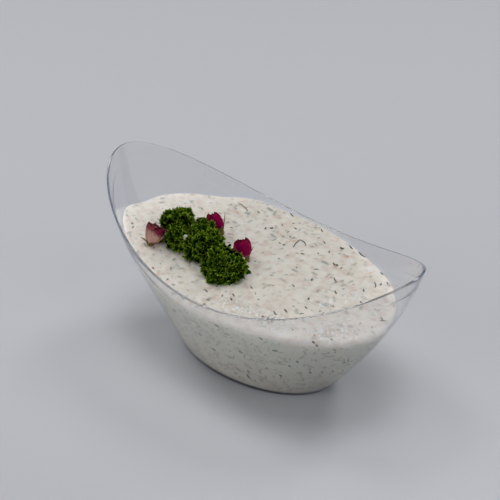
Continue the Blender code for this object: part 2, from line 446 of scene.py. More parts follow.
edge_angles = np.linspace(0, 2 * math.pi, 4 * CELLS, endpoint=False)
edge_levels = round_the_edge(EDGE_LEVELS, edge_angles)
edge_rolls = round_the_edge(EDGE_ROLLS, edge_angles)
contact = inside(edge_angles, edge_levels - edge_rolls, DIP_INSET)


def top_grid():
    """Angle and reach for each point of a square grid bent into a disc, in rows."""
    steps = np.linspace(-1, 1, CELLS + 1)
    a, b = np.meshgrid(steps, steps)
    wide = np.abs(a) >= np.abs(b)
    safe_a, safe_b = np.where(a == 0, 1, a), np.where(b == 0, 1, b)
    reach = np.maximum(np.abs(a), np.abs(b))
    angle = np.where(wide, b / safe_a * math.pi / 4, math.pi / 2 - a / safe_b * math.pi / 4)
    return np.where(np.where(wide, a, b) < 0, angle + math.pi, angle), reach


def at_reach(angle, reach):
    """Plan position of points at a share of the way from the middle to the dip's edge."""
    edge = [np.interp(angle % (2 * math.pi), np.append(edge_angles, 2 * math.pi), np.append(row, row[0]))
            for row in (contact[:, 0], contact[:, 1])]
    return edge[0] * reach, edge[1] * reach


def shoulder_drop(angle, reach, x, y):
    """How far the rounded shoulder lies below the dip's level."""
    roll = round_the_edge(EDGE_ROLLS, angle)
    radius = np.hypot(x, y) / np.maximum(reach, 1e-6)
    inward = np.minimum((1 - reach) * radius / (ROLL_WIDTH * roll), 1.0)
    return roll * (1 - np.sqrt(1 - (1 - inward) ** 2))


def dip_mesh():
    """Points, faces and the share from the middle to the edge of each point of the dip."""
    count = 4 * CELLS
    grid_angle, grid_reach = top_grid()
    angle, reach = grid_angle.ravel(), grid_reach.ravel() * SHOULDER
    x, y = at_reach(angle, reach)
    top = np.column_stack([x, y, dip_level(x, y) - shoulder_drop(angle, reach, x, y)])
    side = CELLS + 1
    cell = lambda row, column: row * side + column
    faces = [(cell(r, c), cell(r, c + 1), cell(r + 1, c + 1), cell(r + 1, c))
             for r in range(CELLS) for c in range(CELLS)]
    half = CELLS // 2
    border = (
        [cell(r, CELLS) for r in range(half, CELLS)]
        + [cell(CELLS, c) for c in range(CELLS, 0, -1)]
        + [cell(r, 0) for r in range(CELLS, 0, -1)]
        + [cell(0, c) for c in range(CELLS)]
        + [cell(r, CELLS) for r in range(half)]
    )
    points, reaches = [top], [reach]
    for share in np.linspace(SHOULDER, 1, SHOULDER_RINGS + 1)[1:]:
        x, y = at_reach(edge_angles, share)
        drop = shoulder_drop(edge_angles, share, x, y)
        points.append(np.column_stack([x, y, dip_level(x, y) - drop]))
        reaches.append(np.full(count, share))
    floor = FLOOR_THICKNESS - 0.1 * MM
    for share in np.linspace(1, 0, SIDE_RINGS + 1)[1:]:
        levels = floor + CORNER + share * (contact[:, 2] - floor - CORNER)
        points.append(inside(edge_angles, levels, DIP_INSET))
        reaches.append(np.full(count, 2 - share))
    sole = inside(edge_angles, 0 * edge_angles + floor, DIP_INSET + CORNER)
    sole[:, 2] = floor
    for ring in rounded_corner(points[-1], sole):
        points.append(ring)
        reaches.append(np.full(count, 2.0))
    points.append(np.array([[0, 0, floor]]))
    reaches.append(np.array([2.0]))
    start = len(top)
    upper = border
    for ring in range(len(points) - 2):
        lower = [start + ring * count + k for k in range(count)]
        faces += [(upper[k], lower[k], lower[(k + 1) % count], upper[(k + 1) % count]) for k in range(count)]
        upper = lower
    pole = start + (len(points) - 2) * count
    faces += [(upper[(k + 1) % count], upper[k], pole) for k in range(count)]
    return np.concatenate(points), faces, np.concatenate(reaches)


dip_points, dip_faces, dip_reach = dip_mesh()
dip_on_top = dip_reach < 1.0
print("dip:", len(dip_points), "points,", int(dip_on_top.sum()), "of them on top")


# %% [markdown]
# ## What lies just under the surface
#
# Most of the dill is not on top of the yoghurt but a fraction of a millimetre below it, where it
# shows as a soft grey-green smudge and lifts the surface a little. Bits of red pepper and carrot
# do the same in orange and pink. Each buried bit is a short line laid on the surface at random.
# Every point of the dip near the line takes some of its colour, less with distance, and rises
# with it. So one small list of lines gives both a colour that follows the surface and a relief
# that agrees with it, which two unrelated noises would not.

# %% Buried bits
BURIED_ON_TOP, BURIED_AT_WALL = 680, 280
PEPPER_SHARE = 0.08
dice = random.Random(11)


def normals_of(target):
    """The direction in which each point of a mesh faces."""
    found = np.empty(len(target.data.vertices) * 3, np.float32)
    target.data.vertices.foreach_get("normal", found)
    return found.reshape(-1, 3)


def lay_down(spots, count, boldest, spread):
    """Short random lines within a spread of level: spot, way, half length and width, strength, kind."""
    lines = []
    for _ in range(count):
        spot = dice.choice(spots)
        turn = dice.uniform(-spread, spread)
        normal = Vector(dip_normals[spot])
        aside = normal.cross((0.001, 0.0, 1.0)).normalized()
        way = (aside * math.cos(turn) + normal.cross(aside) * math.sin(turn)).normalized()
        pepper = dice.random() < PEPPER_SHARE
        half_length = dice.uniform(0.3, 1.2) if pepper else 1.7 * dice.betavariate(1.4, 2.4)
        half_width = dice.uniform(0.5, 1.1) if pepper else dice.uniform(0.4, 0.8)
        strength = dice.uniform(0.1, boldest) if pepper else dice.betavariate(1.3, 2.2)
        lines.append((spot, way, half_length * MM, half_width * MM, strength, pepper))
    return lines


def soak(lines):
    """How much herb, pepper and lift the buried lines give to each point of the dip."""
    herb, pepper, lift = (np.zeros(len(dip_points)) for _ in range(3))
    for spot, way, half_length, half_width, strength, is_pepper in lines:
        reach = half_length + 2.5 * half_width
        near = [index for _, index, _ in dip_tree.find_range(dip_points[spot], reach)]
        apart = dip_points[near] - dip_points[spot]
        along = np.clip(apart @ np.array(way), -half_length, half_length)
        away = np.linalg.norm(apart - along[:, None] * np.array(way), axis=1)
        fade = np.exp(-((away / half_width) ** 2))
        stain = pepper if is_pepper else herb
        stain[near] = np.maximum(stain[near], strength * fade)
        lift[near] = np.maximum(lift[near], fade * half_width * (0.3 + 0.3 * strength))
    return herb, pepper, lift


dip = mesh_object("yoghurt_dip", dip_points, dip_faces)
dip_normals = normals_of(dip)
dip_tree = kdtree.KDTree(len(dip_points))
for index, point in enumerate(dip_points):
    dip_tree.insert(point, index)
dip_tree.balance()

# %% Chosen bits
SOFT_BITS = (
    (-34, 48, 1.6, 0.9, 0.8, False), (-14, 29, 1.8, 1.0, 0.6, False), (28.7, 28.3, 2.0, 1.0, 0.7, False),
    (32, 15, 1.5, 0.9, 0.6, False), (21, 9, 1.6, 0.8, 0.6, False), (57, -4, 1.8, 0.9, 0.7, False),
    (-1, 32.5, 1.0, 1.2, 0.8, True), (-11, 33, 1.2, 1.3, 0.6, True), (33.6, 41, 0.9, 1.1, 0.9, True),
    (34.5, 29.5, 0.9, 0.8, 0.9, True), (-49, 33, 1.4, 1.6, 0.55, True), (19, -14, 2.2, 0.9, 0.35, False),
    (23, -3, 2.4, 0.8, 0.35, False), (62, -24, 1.4, 1.3, 0.55, True), (44, -38, 1.0, 1.2, 0.6, True),
)


def chosen_lines(bits):
    """The same kind of lines at chosen places of the top, all laid along the bowl's length."""
    lines = []
    for x, y, half_length, half_width, strength, is_pepper in bits:
        above = Vector((x, y, MIDDLE_LEVEL / MM)) * MM
        spot = dip_tree.find(above)[1]
        lines.append((spot, (1.0, 0.0, 0.0), half_length * MM, half_width * MM, strength, is_pepper))
    return lines


top_spots = np.flatnonzero(dip_reach < 0.985).tolist()
wall_spots = np.flatnonzero((dip_reach > 1.0) & (dip_reach < 1.999)).tolist()
buried = lay_down(top_spots, BURIED_ON_TOP, 0.55, math.pi) + lay_down(wall_spots, BURIED_AT_WALL, 0.95, 0.7)
herb, pepper, lift = soak(buried + chosen_lines(SOFT_BITS))
print("buried bits:", len(buried), "- greenest", round(float(herb.max()), 2))

# %% [markdown]
# ## The spooned surface
#
# The back of a spoon leaves long shallow strokes, and over them the grated cucumber makes small
# soft lumps. Where liquid has gathered, along the front edge, the lumps stand out and shine.
# Noises of different sizes are added to the level, each scaled by how rough that part is, and
# all of it fades out just before the wall, so that the edge keeps its clean shoulder.

# %% Relief of the dip
WET_PATCHES = (
    (15.3, -39.0, 8.0), (39.0, -38.0, 7.0), (50.0, -36.0, 8.0), (72.0, -26.0, 7.0),
    (84.0, -17.0, 8.0), (64.0, 12.6, 7.0), (57.0, -5.0, 5.0), (27.0, -40.0, 6.0),
)


def wetness_at(x, y):
    """How wet the surface is, from 0 to 1, round the wet patches."""
    parts = [np.exp(-((x - cx * MM) ** 2 + (y - cy * MM) ** 2) / (size * MM) ** 2)
             for cx, cy, size in WET_PATCHES]
    return np.minimum(sum(parts), 1.0)


def relief(x, y, reach):
    """The height of strokes, lumps and grains at points of the top."""
    rougher = np.clip(0.75 + 0.3 * bumps(x, y, 30 * MM, 8.8) + x / 0.45, 0.3, 1.3)
    strokes = 0.55 * MM * bumps(x, y, 6.5 * MM, 1.7, stretch=3.5, turn=math.radians(24))
    lumps = 0.72 * MM * bumps(x, y, 4.6 * MM, 6.1) * rougher
    grains = 0.26 * MM * bumps(x, y, 2.0 * MM, 9.4) * rougher
    shiny = 1.1 * MM * np.maximum(bumps(x, y, 2.7 * MM, 3.2), -0.1) * wetness_at(x, y)
    fade = np.clip((1.0 - reach) / 0.05, 0.0, 1.0)
    return (strokes + lumps + grains + shiny) * fade


heights, wetness = np.zeros(len(dip_points)), np.zeros(len(dip_points))
top_x, top_y = dip_points[dip_on_top, 0], dip_points[dip_on_top, 1]
heights[dip_on_top] = relief(top_x, top_y, dip_reach[dip_on_top])
wetness[dip_on_top] = wetness_at(top_x, top_y)
heights += lift * np.clip((1.0 - dip_reach) / 0.05, 0.0, 1.0)
dip_points[:, 2] += heights
dip.data.vertices.foreach_set("co", dip_points.astype(np.float32).ravel())
dip.data.update()
# Painted light: the dip's side behind the wall gets a lighter, yellower cream, full on the upper side and fading
# to 0.4 towards the foot.
pressed_and_side_light = np.clip((dip_reach - 1.0) / 0.03, 0.0, 1.0) * np.clip(1.0 - 1.2 * (dip_reach - 1.5), 0.4, 1.0)
for name, values in (("herb", herb), ("pepper", pepper), ("wet", wetness), ("pressed_and_side_light", pressed_and_side_light)):
    give_points(dip, name, values)
print("relief, mm:", round(float(heights.min()) / MM, 2), "to", round(float(heights.max()) / MM, 2))

# %% [markdown]
# ## Yoghurt
#
# Strained yoghurt is a warm white and lets light in a millimetre or two, which softens every
# small shadow, so the shader scatters light below the surface. Its colour starts from a cloudy
# mixture of two creams, and the stored smudges tint it: dill towards a cool grey-green, pepper
# towards orange. The side behind the wall is painted a lighter, yellower cream, a painted light
# on the side that faces the viewer, and small white specks in the wet patches are a painted
# highlight for their glints. A fine bump stands for the graininess, and the wet patches are
# smoother.

# %% Yoghurt material
yoghurt, tree, shader = new_material("yoghurt")
place = given(add(tree, "ShaderNodeTexCoord"), "Object")
cloud = add(tree, "ShaderNodeTexNoise", {"Vector": place, "Scale": 120.0, "Detail": 3.0})
creams = add(tree, "ShaderNodeValToRGB", {"Fac": given(cloud)})
creams.color_ramp.elements[0].position = 0.35
creams.color_ramp.elements[0].color = (0.80, 0.75, 0.67, 1.0)
creams.color_ramp.elements[1].position = 0.65
creams.color_ramp.elements[1].color = (0.865, 0.822, 0.75, 1.0)
herb_here = given(add(tree, "ShaderNodeAttribute", attribute_name="herb"), "Fac")
pepper_here = given(add(tree, "ShaderNodeAttribute", attribute_name="pepper"), "Fac")
wet_here = given(add(tree, "ShaderNodeAttribute", attribute_name="wet"), "Fac")


def tinted(tree, under, amount, colour):
    """The colour below mixed towards another by an amount."""
    mixed = add(tree, "ShaderNodeMix", data_type="RGBA")
    feed(tree, mixed.inputs["Factor"], amount)
    sockets = [s for s in mixed.inputs if s.enabled and s.name in ("A", "B")]
    feed(tree, sockets[0], under)
    feed(tree, sockets[1], colour)
    return given(mixed)


# A lighter, yellower cream painted on the side behind the wall: painted light, not a colour of the dip.
side_light_here = given(add(tree, "ShaderNodeAttribute", attribute_name="pressed_and_side_light"), "Fac")
side_lit_cream = tinted(tree, given(creams), side_light_here, (0.96, 0.945, 0.83, 1.0))
blushing = add(tree, "ShaderNodeTexNoise", {"Vector": place, "Scale": 190.0, "Detail": 2.0})
blush = add(tree, "ShaderNodeMapRange", {"Value": given(blushing), "From Min": 0.5, "From Max": 0.68,
                                         "To Min": 0.0, "To Max": 0.75})
fewer = add(tree, "ShaderNodeMapRange", {"Value": side_light_here, "To Min": 0.9, "To Max": 0.3})
blush_here = add(tree, "ShaderNodeMath", {"Value": given(blush)}, operation="MULTIPLY")
feed(tree, blush_here.inputs[1], given(fewer))
blushed = tinted(tree, side_lit_cream, given(blush_here), (0.70, 0.58, 0.50, 1.0))
greened = tinted(tree, blushed, herb_here, (0.12, 0.155, 0.15, 1.0))
stained = tinted(tree, greened, pepper_here, (0.66, 0.46, 0.34, 1.0))
# Painted highlight: small white specks in the wet patches stand for the glints of the wet lumps.
painted_glint_noise = add(tree, "ShaderNodeTexNoise", {"Vector": place, "Scale": 620.0, "Detail": 1.0})
painted_glint_specks = add(tree, "ShaderNodeMapRange", {"Value": given(painted_glint_noise), "From Min": 0.55, "From Max": 0.62})
painted_glint_mask = add(tree, "ShaderNodeMath", {"Value": given(painted_glint_specks)}, operation="MULTIPLY")
feed(tree, painted_glint_mask.inputs[1], wet_here)
with_painted_glints = tinted(tree, stained, given(painted_glint_mask), (1.0, 1.0, 1.0, 1.0))
feed(tree, shader.inputs["Base Color"], with_painted_glints)
rough = add(tree, "ShaderNodeMapRange", {"Value": wet_here, "To Min": 0.42, "To Max": 0.05})
feed(tree, shader.inputs["Roughness"], given(rough))
grain = add(tree, "ShaderNodeTexNoise", {"Vector": place, "Scale": 900.0, "Detail": 4.0})
grainy = add(tree, "ShaderNodeBump", {"Height": given(grain), "Strength": 0.35, "Distance": 0.0003})
bead = add(tree, "ShaderNodeTexNoise", {"Vector": place, "Scale": 430.0, "Detail": 2.0})
beaded = add(tree, "ShaderNodeBump", {"Height": given(bead), "Strength": wet_here, "Normal": given(grainy)})
beaded.inputs["Distance"].default_value = 0.0022
feed(tree, shader.inputs["Normal"], given(beaded))
shader.inputs["Subsurface Weight"].default_value = 0.5
shader.inputs["Subsurface Radius"].default_value = (1.0, 0.85, 0.65)
shader.inputs["Subsurface Scale"].default_value = 0.0016
shader.inputs["IOR"].default_value = 1.4
hand_over(dip, yoghurt, ["dip"])


# %% [markdown]
# ## A node tree that strews things
#
# Chopped herbs fall at random but lie flat, never on the same spot, and never exactly alike.
# Geometry Nodes do just that: points are dealt out over a surface with a least distance between
# them, each gets one of several shapes, turned about the surface's own normal, leaned a little
# and scaled. Each shape also takes a random shade with it, which the material reads. The tree
# ends by making the copies real, so that the piece is a plain mesh. All its sizes are inputs,
# so dill, cucumber and the parsley's leaves come from this one tree.

# %% Strewing tree
STREW_INPUTS = (
    ("Surface", "NodeSocketGeometry"), ("Shapes", "NodeSocketCollection"),
    ("Per square metre", "NodeSocketFloat"), ("Apart", "NodeSocketFloat"),
    ("Smallest", "NodeSocketFloat"), ("Largest", "NodeSocketFloat"),
    ("Deepest", "NodeSocketFloat"), ("Highest", "NodeSocketFloat"),
    ("Lean", "NodeSocketFloat"), ("Seed", "NodeSocketInt"), ("Finish", "NodeSocketMaterial"),
)


def spread(tree, low, high, seed, kind="FLOAT"):
    """A random value for each element."""
    return given(add(tree, "FunctionNodeRandomValue", {"Min": low, "Max": high, "Seed": seed}, data_type=kind))


def turned_about(tree, rotation, axis, angle):
    """A rotation turned further by an angle about one of its own axes."""
    extra = add(tree, "FunctionNodeAxisAngleToRotation", {"Axis": axis, "Angle": angle})
    rotated = add(tree, "FunctionNodeRotateRotation", {"Rotation": rotation, "Rotate By": given(extra)})
    rotated.rotation_space = "LOCAL"
    return given(rotated)


def strewing_tree():
    """Geometry nodes that cover a surface with random copies of a collection's shapes."""
    tree = bpy.data.node_groups.new("strewing", "GeometryNodeTree")
    for name, kind in STREW_INPUTS:
        tree.interface.new_socket(name=name, in_out="INPUT", socket_type=kind)
    tree.interface.new_socket(name="Strewn", in_out="OUTPUT", socket_type="NodeSocketGeometry")
    start = {s.name: s for s in tree.nodes.new("NodeGroupInput").outputs if s.name}
    share = add(tree, "GeometryNodeInputNamedAttribute", {"Name": "strew"}, data_type="FLOAT")
    dealt = add(tree, "GeometryNodeDistributePointsOnFaces", distribute_method="POISSON")
    for socket, value in (
        ("Mesh", start["Surface"]), ("Distance Min", start["Apart"]), ("Seed", start["Seed"]),
        ("Density Max", start["Per square metre"]), ("Density Factor", given(share, "Attribute")),
    ):
        feed(tree, next(s for s in dealt.inputs if s.name == socket and s.enabled), value)
    seed = start["Seed"]
    depth = spread(tree, start["Deepest"], start["Highest"], seed)
    shift = add(tree, "ShaderNodeVectorMath", operation="SCALE")
    feed(tree, shift.inputs[0], given(dealt, "Normal"))
    feed(tree, shift.inputs["Scale"], depth)
    placed = add(tree, "GeometryNodeSetPosition", {"Geometry": given(dealt, "Points"), "Offset": given(shift)})
    down = add(tree, "ShaderNodeMath", {"Value": start["Lean"]}, operation="MULTIPLY")
    down.inputs[1].default_value = -1.0
    spun = turned_about(tree, given(dealt, "Rotation"), (0, 0, 1), spread(tree, 0.0, 2 * math.pi, seed))
    leaned = turned_about(tree, spun, (1, 0, 0), spread(tree, given(down), start["Lean"], seed))
    shapes = add(tree, "GeometryNodeCollectionInfo", {
        "Collection": start["Shapes"], "Separate Children": True, "Reset Children": True})
    copies = add(tree, "GeometryNodeInstanceOnPoints", {
        "Points": given(placed), "Instance": given(shapes), "Pick Instance": True,
        "Rotation": leaned, "Scale": spread(tree, start["Smallest"], start["Largest"], seed)})
    shaded = add(tree, "GeometryNodeStoreNamedAttribute", {
        "Geometry": given(copies), "Name": "shade", "Value": spread(tree, 0.0, 1.0, seed)},
        data_type="FLOAT", domain="INSTANCE")
    real = add(tree, "GeometryNodeRealizeInstances", {"Geometry": given(shaded)})
    done = add(tree, "GeometryNodeSetMaterial", {"Geometry": given(real), "Material": start["Finish"]})
    feed(tree, tree.nodes.new("NodeGroupOutput").inputs["Strewn"], given(done))
    return tree


strewing = strewing_tree()


def strew(name, surface, shapes, finish, **sizes):
    """A plain mesh object of shapes strewn over a surface object."""
    base = bpy.data.objects.new(name, surface.data.copy())
    bpy.context.scene.collection.objects.link(base)
    laying = base.modifiers.new("strewing", "NODES")
    laying.node_group = strewing
    sizes = {"Shapes": shapes, "Finish": finish, **sizes}
    for item in strewing.interface.items_tree:
        if item.in_out == "INPUT" and item.name in sizes:
            laying[item.identifier] = sizes[item.name]
    made = evaluated_mesh(base)
    base.modifiers.clear()
    base.data = made
    made.shade_smooth()
    return base


def shape_collection(name, shapes):
    """A collection of shapes for the tree to pick from, which isn't itself in the scene."""
    made = bpy.data.collections.new(name)
    for shape in shapes:
        bpy.context.scene.collection.objects.unlink(shape)
        made.objects.link(shape)
    return made


# %% [markdown]
# ## Chopped dill
#
# Dill leaves are soft green threads, and chopping leaves short pieces: straight ones, bent ones,
# and forks where one thread branched off another. Each thread is a tapering tube with few sides,
# because hundreds of them are strewn. They lie half sunk in the yoghurt. Those that the wall
# presses flat are strewn over the dip's side in the same way, but lie flush.

# %% Dill shapes
def thread(stations, radius, sides=5, wide=1.0, tall=0.6):
    """Points and faces of a squashed tube through stations, thick in the middle and fine at its ends."""
    stations = np.array(stations, float)
    ways = np.gradient(stations, axis=0)
    ways /= np.linalg.norm(ways, axis=1, keepdims=True)
    across = np.cross(ways, (0, 0, 1.0))
    across /= np.linalg.norm(across, axis=1, keepdims=True)
    lift = np.cross(across, ways)
    shares = np.linspace(0, 1, len(stations))
    thick = radius * (0.35 + 0.65 * np.sin(math.pi * (0.12 + 0.76 * shares)))
    turns = np.linspace(0, 2 * math.pi, sides, endpoint=False)
    points = [stations[0]]
    for middle, side, up, width in zip(stations, across, lift, thick):
        points += [middle + width * (wide * side * math.cos(t) + tall * up * math.sin(t)) for t in turns]
    points.append(stations[-1])
    last = len(points) - 1
    faces = [(0, 1 + (k + 1) % sides, 1 + k) for k in range(sides)]
    for ring in range(len(stations) - 1):
        low, up = 1 + ring * sides, 1 + (ring + 1) * sides
        faces += [(low + k, low + (k + 1) % sides, up + (k + 1) % sides, up + k) for k in range(sides)]
    faces += [(last - sides + k, last - sides + (k + 1) % sides, last) for k in range(sides)]
    return points, faces


def joined(parts):
    """Several lists of points and faces as one."""
    points, faces = [], []
    for part_points, part_faces in parts:
        faces += [tuple(k + len(points) for k in face) for face in part_faces]
        points += list(part_points)
    return points, faces


def bent(length, bend, turn=0.0, start=(0.0, 0.0)):
    """Stations along a shallow arc lying flat, in metres, turned and moved."""
    shares = np.linspace(-0.5, 0.5, 6)
    flat = np.column_stack([shares * length, bend * length * (4 * shares**2 - 1), 0 * shares])
    c, s = math.cos(turn), math.sin(turn)
    x, y = flat[:, 0] * c - flat[:, 1] * s, flat[:, 0] * s + flat[:, 1] * c
    return np.column_stack([x + start[0], y + start[1], flat[:, 2]]) * MM


DILL_CUTS = (
    [(2.8, 0.10, 0.0, (0, 0))],
    [(1.9, 0.24, 0.0, (0, 0))],
    [(3.4, 0.16, 0.0, (0, 0)), (1.6, 0.1, 0.75, (0.8, -0.1))],
    [(2.2, 0.05, 0.0, (0, 0)), (1.5, 0.1, -0.8, (-0.6, 0.3)), (1.3, 0.1, 0.9, (0.4, 0.5))],
    [(1.2, 0.1, 0.0, (0, 0))],
    [(1.6, 0.3, 0.0, (0, 0))],
)
dill_shapes = []
for number, cut in enumerate(DILL_CUTS):
    parts = [thread(bent(*leaf), 0.5 * MM) for leaf in cut]
    dill_shapes.append(mesh_object(f"dill_cut_{number}", *joined(parts)))
dill_cuts = shape_collection("dill_cuts", dill_shapes)

# %% Dill material
dill_green, tree, shader = new_material("dill_green")
shade = given(add(tree, "ShaderNodeAttribute", attribute_name="shade"), "Fac")
greens = add(tree, "ShaderNodeValToRGB", {"Fac": shade})
greens.color_ramp.elements[0].color = (0.007, 0.014, 0.010, 1.0)
greens.color_ramp.elements[1].color = (0.085, 0.12, 0.090, 1.0)
greens.color_ramp.elements.new(0.6).color = (0.020, 0.036, 0.022, 1.0)
feed(tree, shader.inputs["Base Color"], given(greens))
shader.inputs["Roughness"].default_value = 0.4

# %% Strew the dill
give_points(dip, "strew", np.where(dip_reach < 0.985, np.clip(0.75 + dip_points[:, 0] / 0.25, 0.45, 1.0), 0.0))
dill_on_top = strew(
    "dill_on_top", dip, dill_cuts, dill_green, Seed=5, Apart=3.5 * MM, Lean=0.15,
    Smallest=0.35, Largest=0.95, Deepest=-0.26 * MM, Highest=0.10 * MM, **{"Per square metre": 11000.0})
hand_over(dill_on_top, dill_green)
dip.data.attributes.remove(dip.data.attributes["strew"])
give_points(dip, "strew", np.where((dip_reach > 1.01) & (dip_reach < 1.97), 1.0, 0.0))
dill_at_wall = strew(
    "dill_at_wall", dip, dill_cuts, dill_green, Seed=8, Apart=7.5 * MM, Lean=0.03,
    Smallest=0.3, Largest=0.8, Deepest=-0.14 * MM, Highest=0.05 * MM, **{"Per square metre": 2600.0})
hand_over(dill_at_wall, dill_green)

# %% Chosen cuts of dill
TOP_CUTS = (
    ((-44.6, 38.0), (-43.4, 37.4), (-42.4, 37.0)), ((-38.5, 41.4), (-36, 40.6)), ((-23, 54.6), (-19, 53.4)),
    ((-18.4, 41.8), (-16.4, 40.4)), ((-10.6, 44.4), (-7.6, 43.6)), ((-7.4, 26.6), (-4.6, 25.6)),
    ((3.4, 27.4), (1.8, 32.0), (1.2, 36.3)), ((1.2, 36.3), (4.6, 35.8), (8.4, 33.5)),
    ((3.4, 53.6), (6.0, 52.2)), ((12.6, 44.8), (15.6, 43.2)), ((27.0, 52.4), (30.4, 51.2)),
    ((24.0, 47.0), (26.2, 46.0)), ((35.0, 51.4), (38.5, 50.0), (41.6, 49.8)), ((31.0, 32.2), (34.6, 30.4)),
    ((42.4, 19.4), (45.6, 17.8)), ((58.6, 42.8), (61.6, 41.4)), ((62.6, 31.6), (65.0, 30.2), (66.8, 27.8)),
    ((67.8, 37.2), (70.6, 35.0)), ((11.6, -19.4), (14.6, -20.8)), ((-6.6, -38.4), (-3.6, -39.6)),
    ((8.6, -31.4), (11.2, -32.6)), ((10.6, -35.4), (13.2, -36.8)), ((42.0, -23.8), (45.2, -25.2)),
    ((39.2, -29.8), (42.4, -31.2)), ((88.0, 6.6), (91.2, 4.4)), ((89.6, 3.6), (92.4, 6.0)),
    ((70.0, 10.0), (73.2, 8.2)), ((52.0, 8.8), (54.8, 7.2)), ((49.0, -14.0), (51.8, -15.6)),
    ((-68.0, 22.0), (-66.0, 20.4)), ((-74.0, 6.0), (-71.6, 4.8)), ((-62.0, -29.0), (-59.8, -29.8)),
)
CUT_RADIUS = 0.40 * MM
WALL_CUT_RADIUS = 0.70 * MM
WALL_CUTS = (
    (280, 53.5, 3.6), (299, 55.7, 2.8), (305, 47.2, 3.2), (322, 57.9, 2.6), (331, 54.2, 2.6),
    (289, 35.5, 3.0), (273, 25.5, 2.4), (292, 17.4, 2.2), (292, 11.7, 4.2), (339, 29.5, 3.4),
    (332, 29.4, 2.6), (267, 34.6, 2.8), (320, 61.0, 2.4), (316, 39.6, 2.2), (342, 39.0, 2.4),
    (325, 29.4, 2.6), (313, 33.8, 2.0), (255, 44.0, 2.8), (310, 22.0, 2.4), (60, 40.0, 3.0),
    (95, 50.0, 2.8), (130, 35.0, 3.0), (160, 48.0, 2.6), (20, 44.0, 2.8), (200, 46.0, 2.8),
)
WALL_SLANT = 32.0

dip_shape = BVHTree.FromObject(dip, bpy.context.evaluated_depsgraph_get())


def on_dip(x, y, rise=0.0):
    """The point of the dip's top above a place in plan, in mm, raised a little."""
    hit = dip_shape.ray_cast(Vector((x * MM, y * MM, 0.2)), Vector((0, 0, -1)))[0]
    return hit + Vector((0, 0, rise * MM))


def curved(corners, steps=7):
    """Points along a quadratic curve through two or three corners."""
    if len(corners) == 2:
        corners = (corners[0], np.mean(corners, axis=0) + (0.15, -0.2), corners[1])
    a, b, c = (np.array(corner, float) for corner in corners)
    shares = np.linspace(0, 1, steps)[:, None]
    return a * (1 - shares) * (1 - 2 * shares) + b * 4 * shares * (1 - shares) + c * shares * (2 * shares - 1)


def wall_cut(angle, level, length):
    """Stations of a cut of dill pressed against the wall, slanting down to the right."""
    slant = math.radians(WALL_SLANT + dice.uniform(-30, 25))
    start = inside(np.array([math.radians(angle)]), np.array([level * MM]), DIP_INSET)[0]
    beyond = inside(np.array([math.radians(angle + 1)]), np.array([level * MM]), DIP_INSET)[0]
    degree = np.linalg.norm(beyond - start) / MM
    shares = np.linspace(-0.5, 0.5, 6) * length
    turns = np.radians(angle + shares * math.cos(slant) / degree)
    return inside(turns, (level - shares * math.sin(slant)) * MM, DIP_INSET + 0.04 * MM)


stations = [[on_dip(x, y, 0.08) for x, y in curved(cut)] for cut in TOP_CUTS]
stations += [wall_cut(*cut) for cut in WALL_CUTS]
kinds = [(CUT_RADIUS, 1.0, 0.6)] * len(TOP_CUTS) + [(WALL_CUT_RADIUS, 0.4, 1.0)] * len(WALL_CUTS)
cuts = [thread(line, radius * dice.uniform(0.75, 1.1), 8, wide, tall)
        for line, (radius, wide, tall) in zip(stations, kinds)]
dill_chosen = mesh_object("dill_chosen", *joined(cuts))
give_points(dill_chosen, "shade", np.repeat([dice.uniform(0.0, 0.35) for _ in cuts], [len(c[0]) for c in cuts]))
hand_over(dill_chosen, dill_green)

# %% [markdown]
# ## Pepper and cucumber
#
# A few crisp specks of orange and red pepper lie open on top, and grated cucumber shows as pale
# wet shreds where the dip is looser, along the front. The pepper is a handful of small rounded
# chips at chosen places. The cucumber is strewn by the same tree as the dill, only where the
# surface is wet, and it is nearly as pale as the yoghurt, so mostly its gloss gives it away.

# %% Pepper chips
PEPPER_CHIPS = (
    (37.7, -37.6, 1.5, 0.9), (83.5, 27.0, 1.2, 0.6), (-45.5, -43.0, 1.6, 0.8), (33.6, 42.5, 1.1, 0.5),
    (70.0, -30.0, 1.2, 0.4), (55.0, 22.0, 1.0, 0.2), (-20.0, 38.0, 0.9, 0.4), (90.0, -4.0, 1.1, 0.1),
    (5.0, -36.0, 1.0, 0.3), (61.0, -12.0, 0.9, 0.7),
)


def chip(x, y, size, redness):
    """A small rounded chip, flat and uneven, half sunk at a place on the dip."""
    shell = bmesh.new()
    bmesh.ops.create_icosphere(shell, subdivisions=2, radius=1.0)
    turn = Matrix.Rotation(dice.uniform(0, math.pi), 3, "Z")
    middle = on_dip(x, y, 0.1)
    points = []
    for vertex in shell.verts:
        squared = Vector([math.copysign(abs(part) ** 0.7, part) for part in vertex.co])
        uneven = 1 + 0.2 * noise.noise(vertex.co * 1.7 + Vector((x, y, 0)))
        points.append(middle + turn @ (squared * Vector((0.62, 0.4, 0.26)) * uneven) * size * MM)
    faces = [tuple(vertex.index for vertex in face.verts) for face in shell.faces]
    shell.free()
    return points, faces


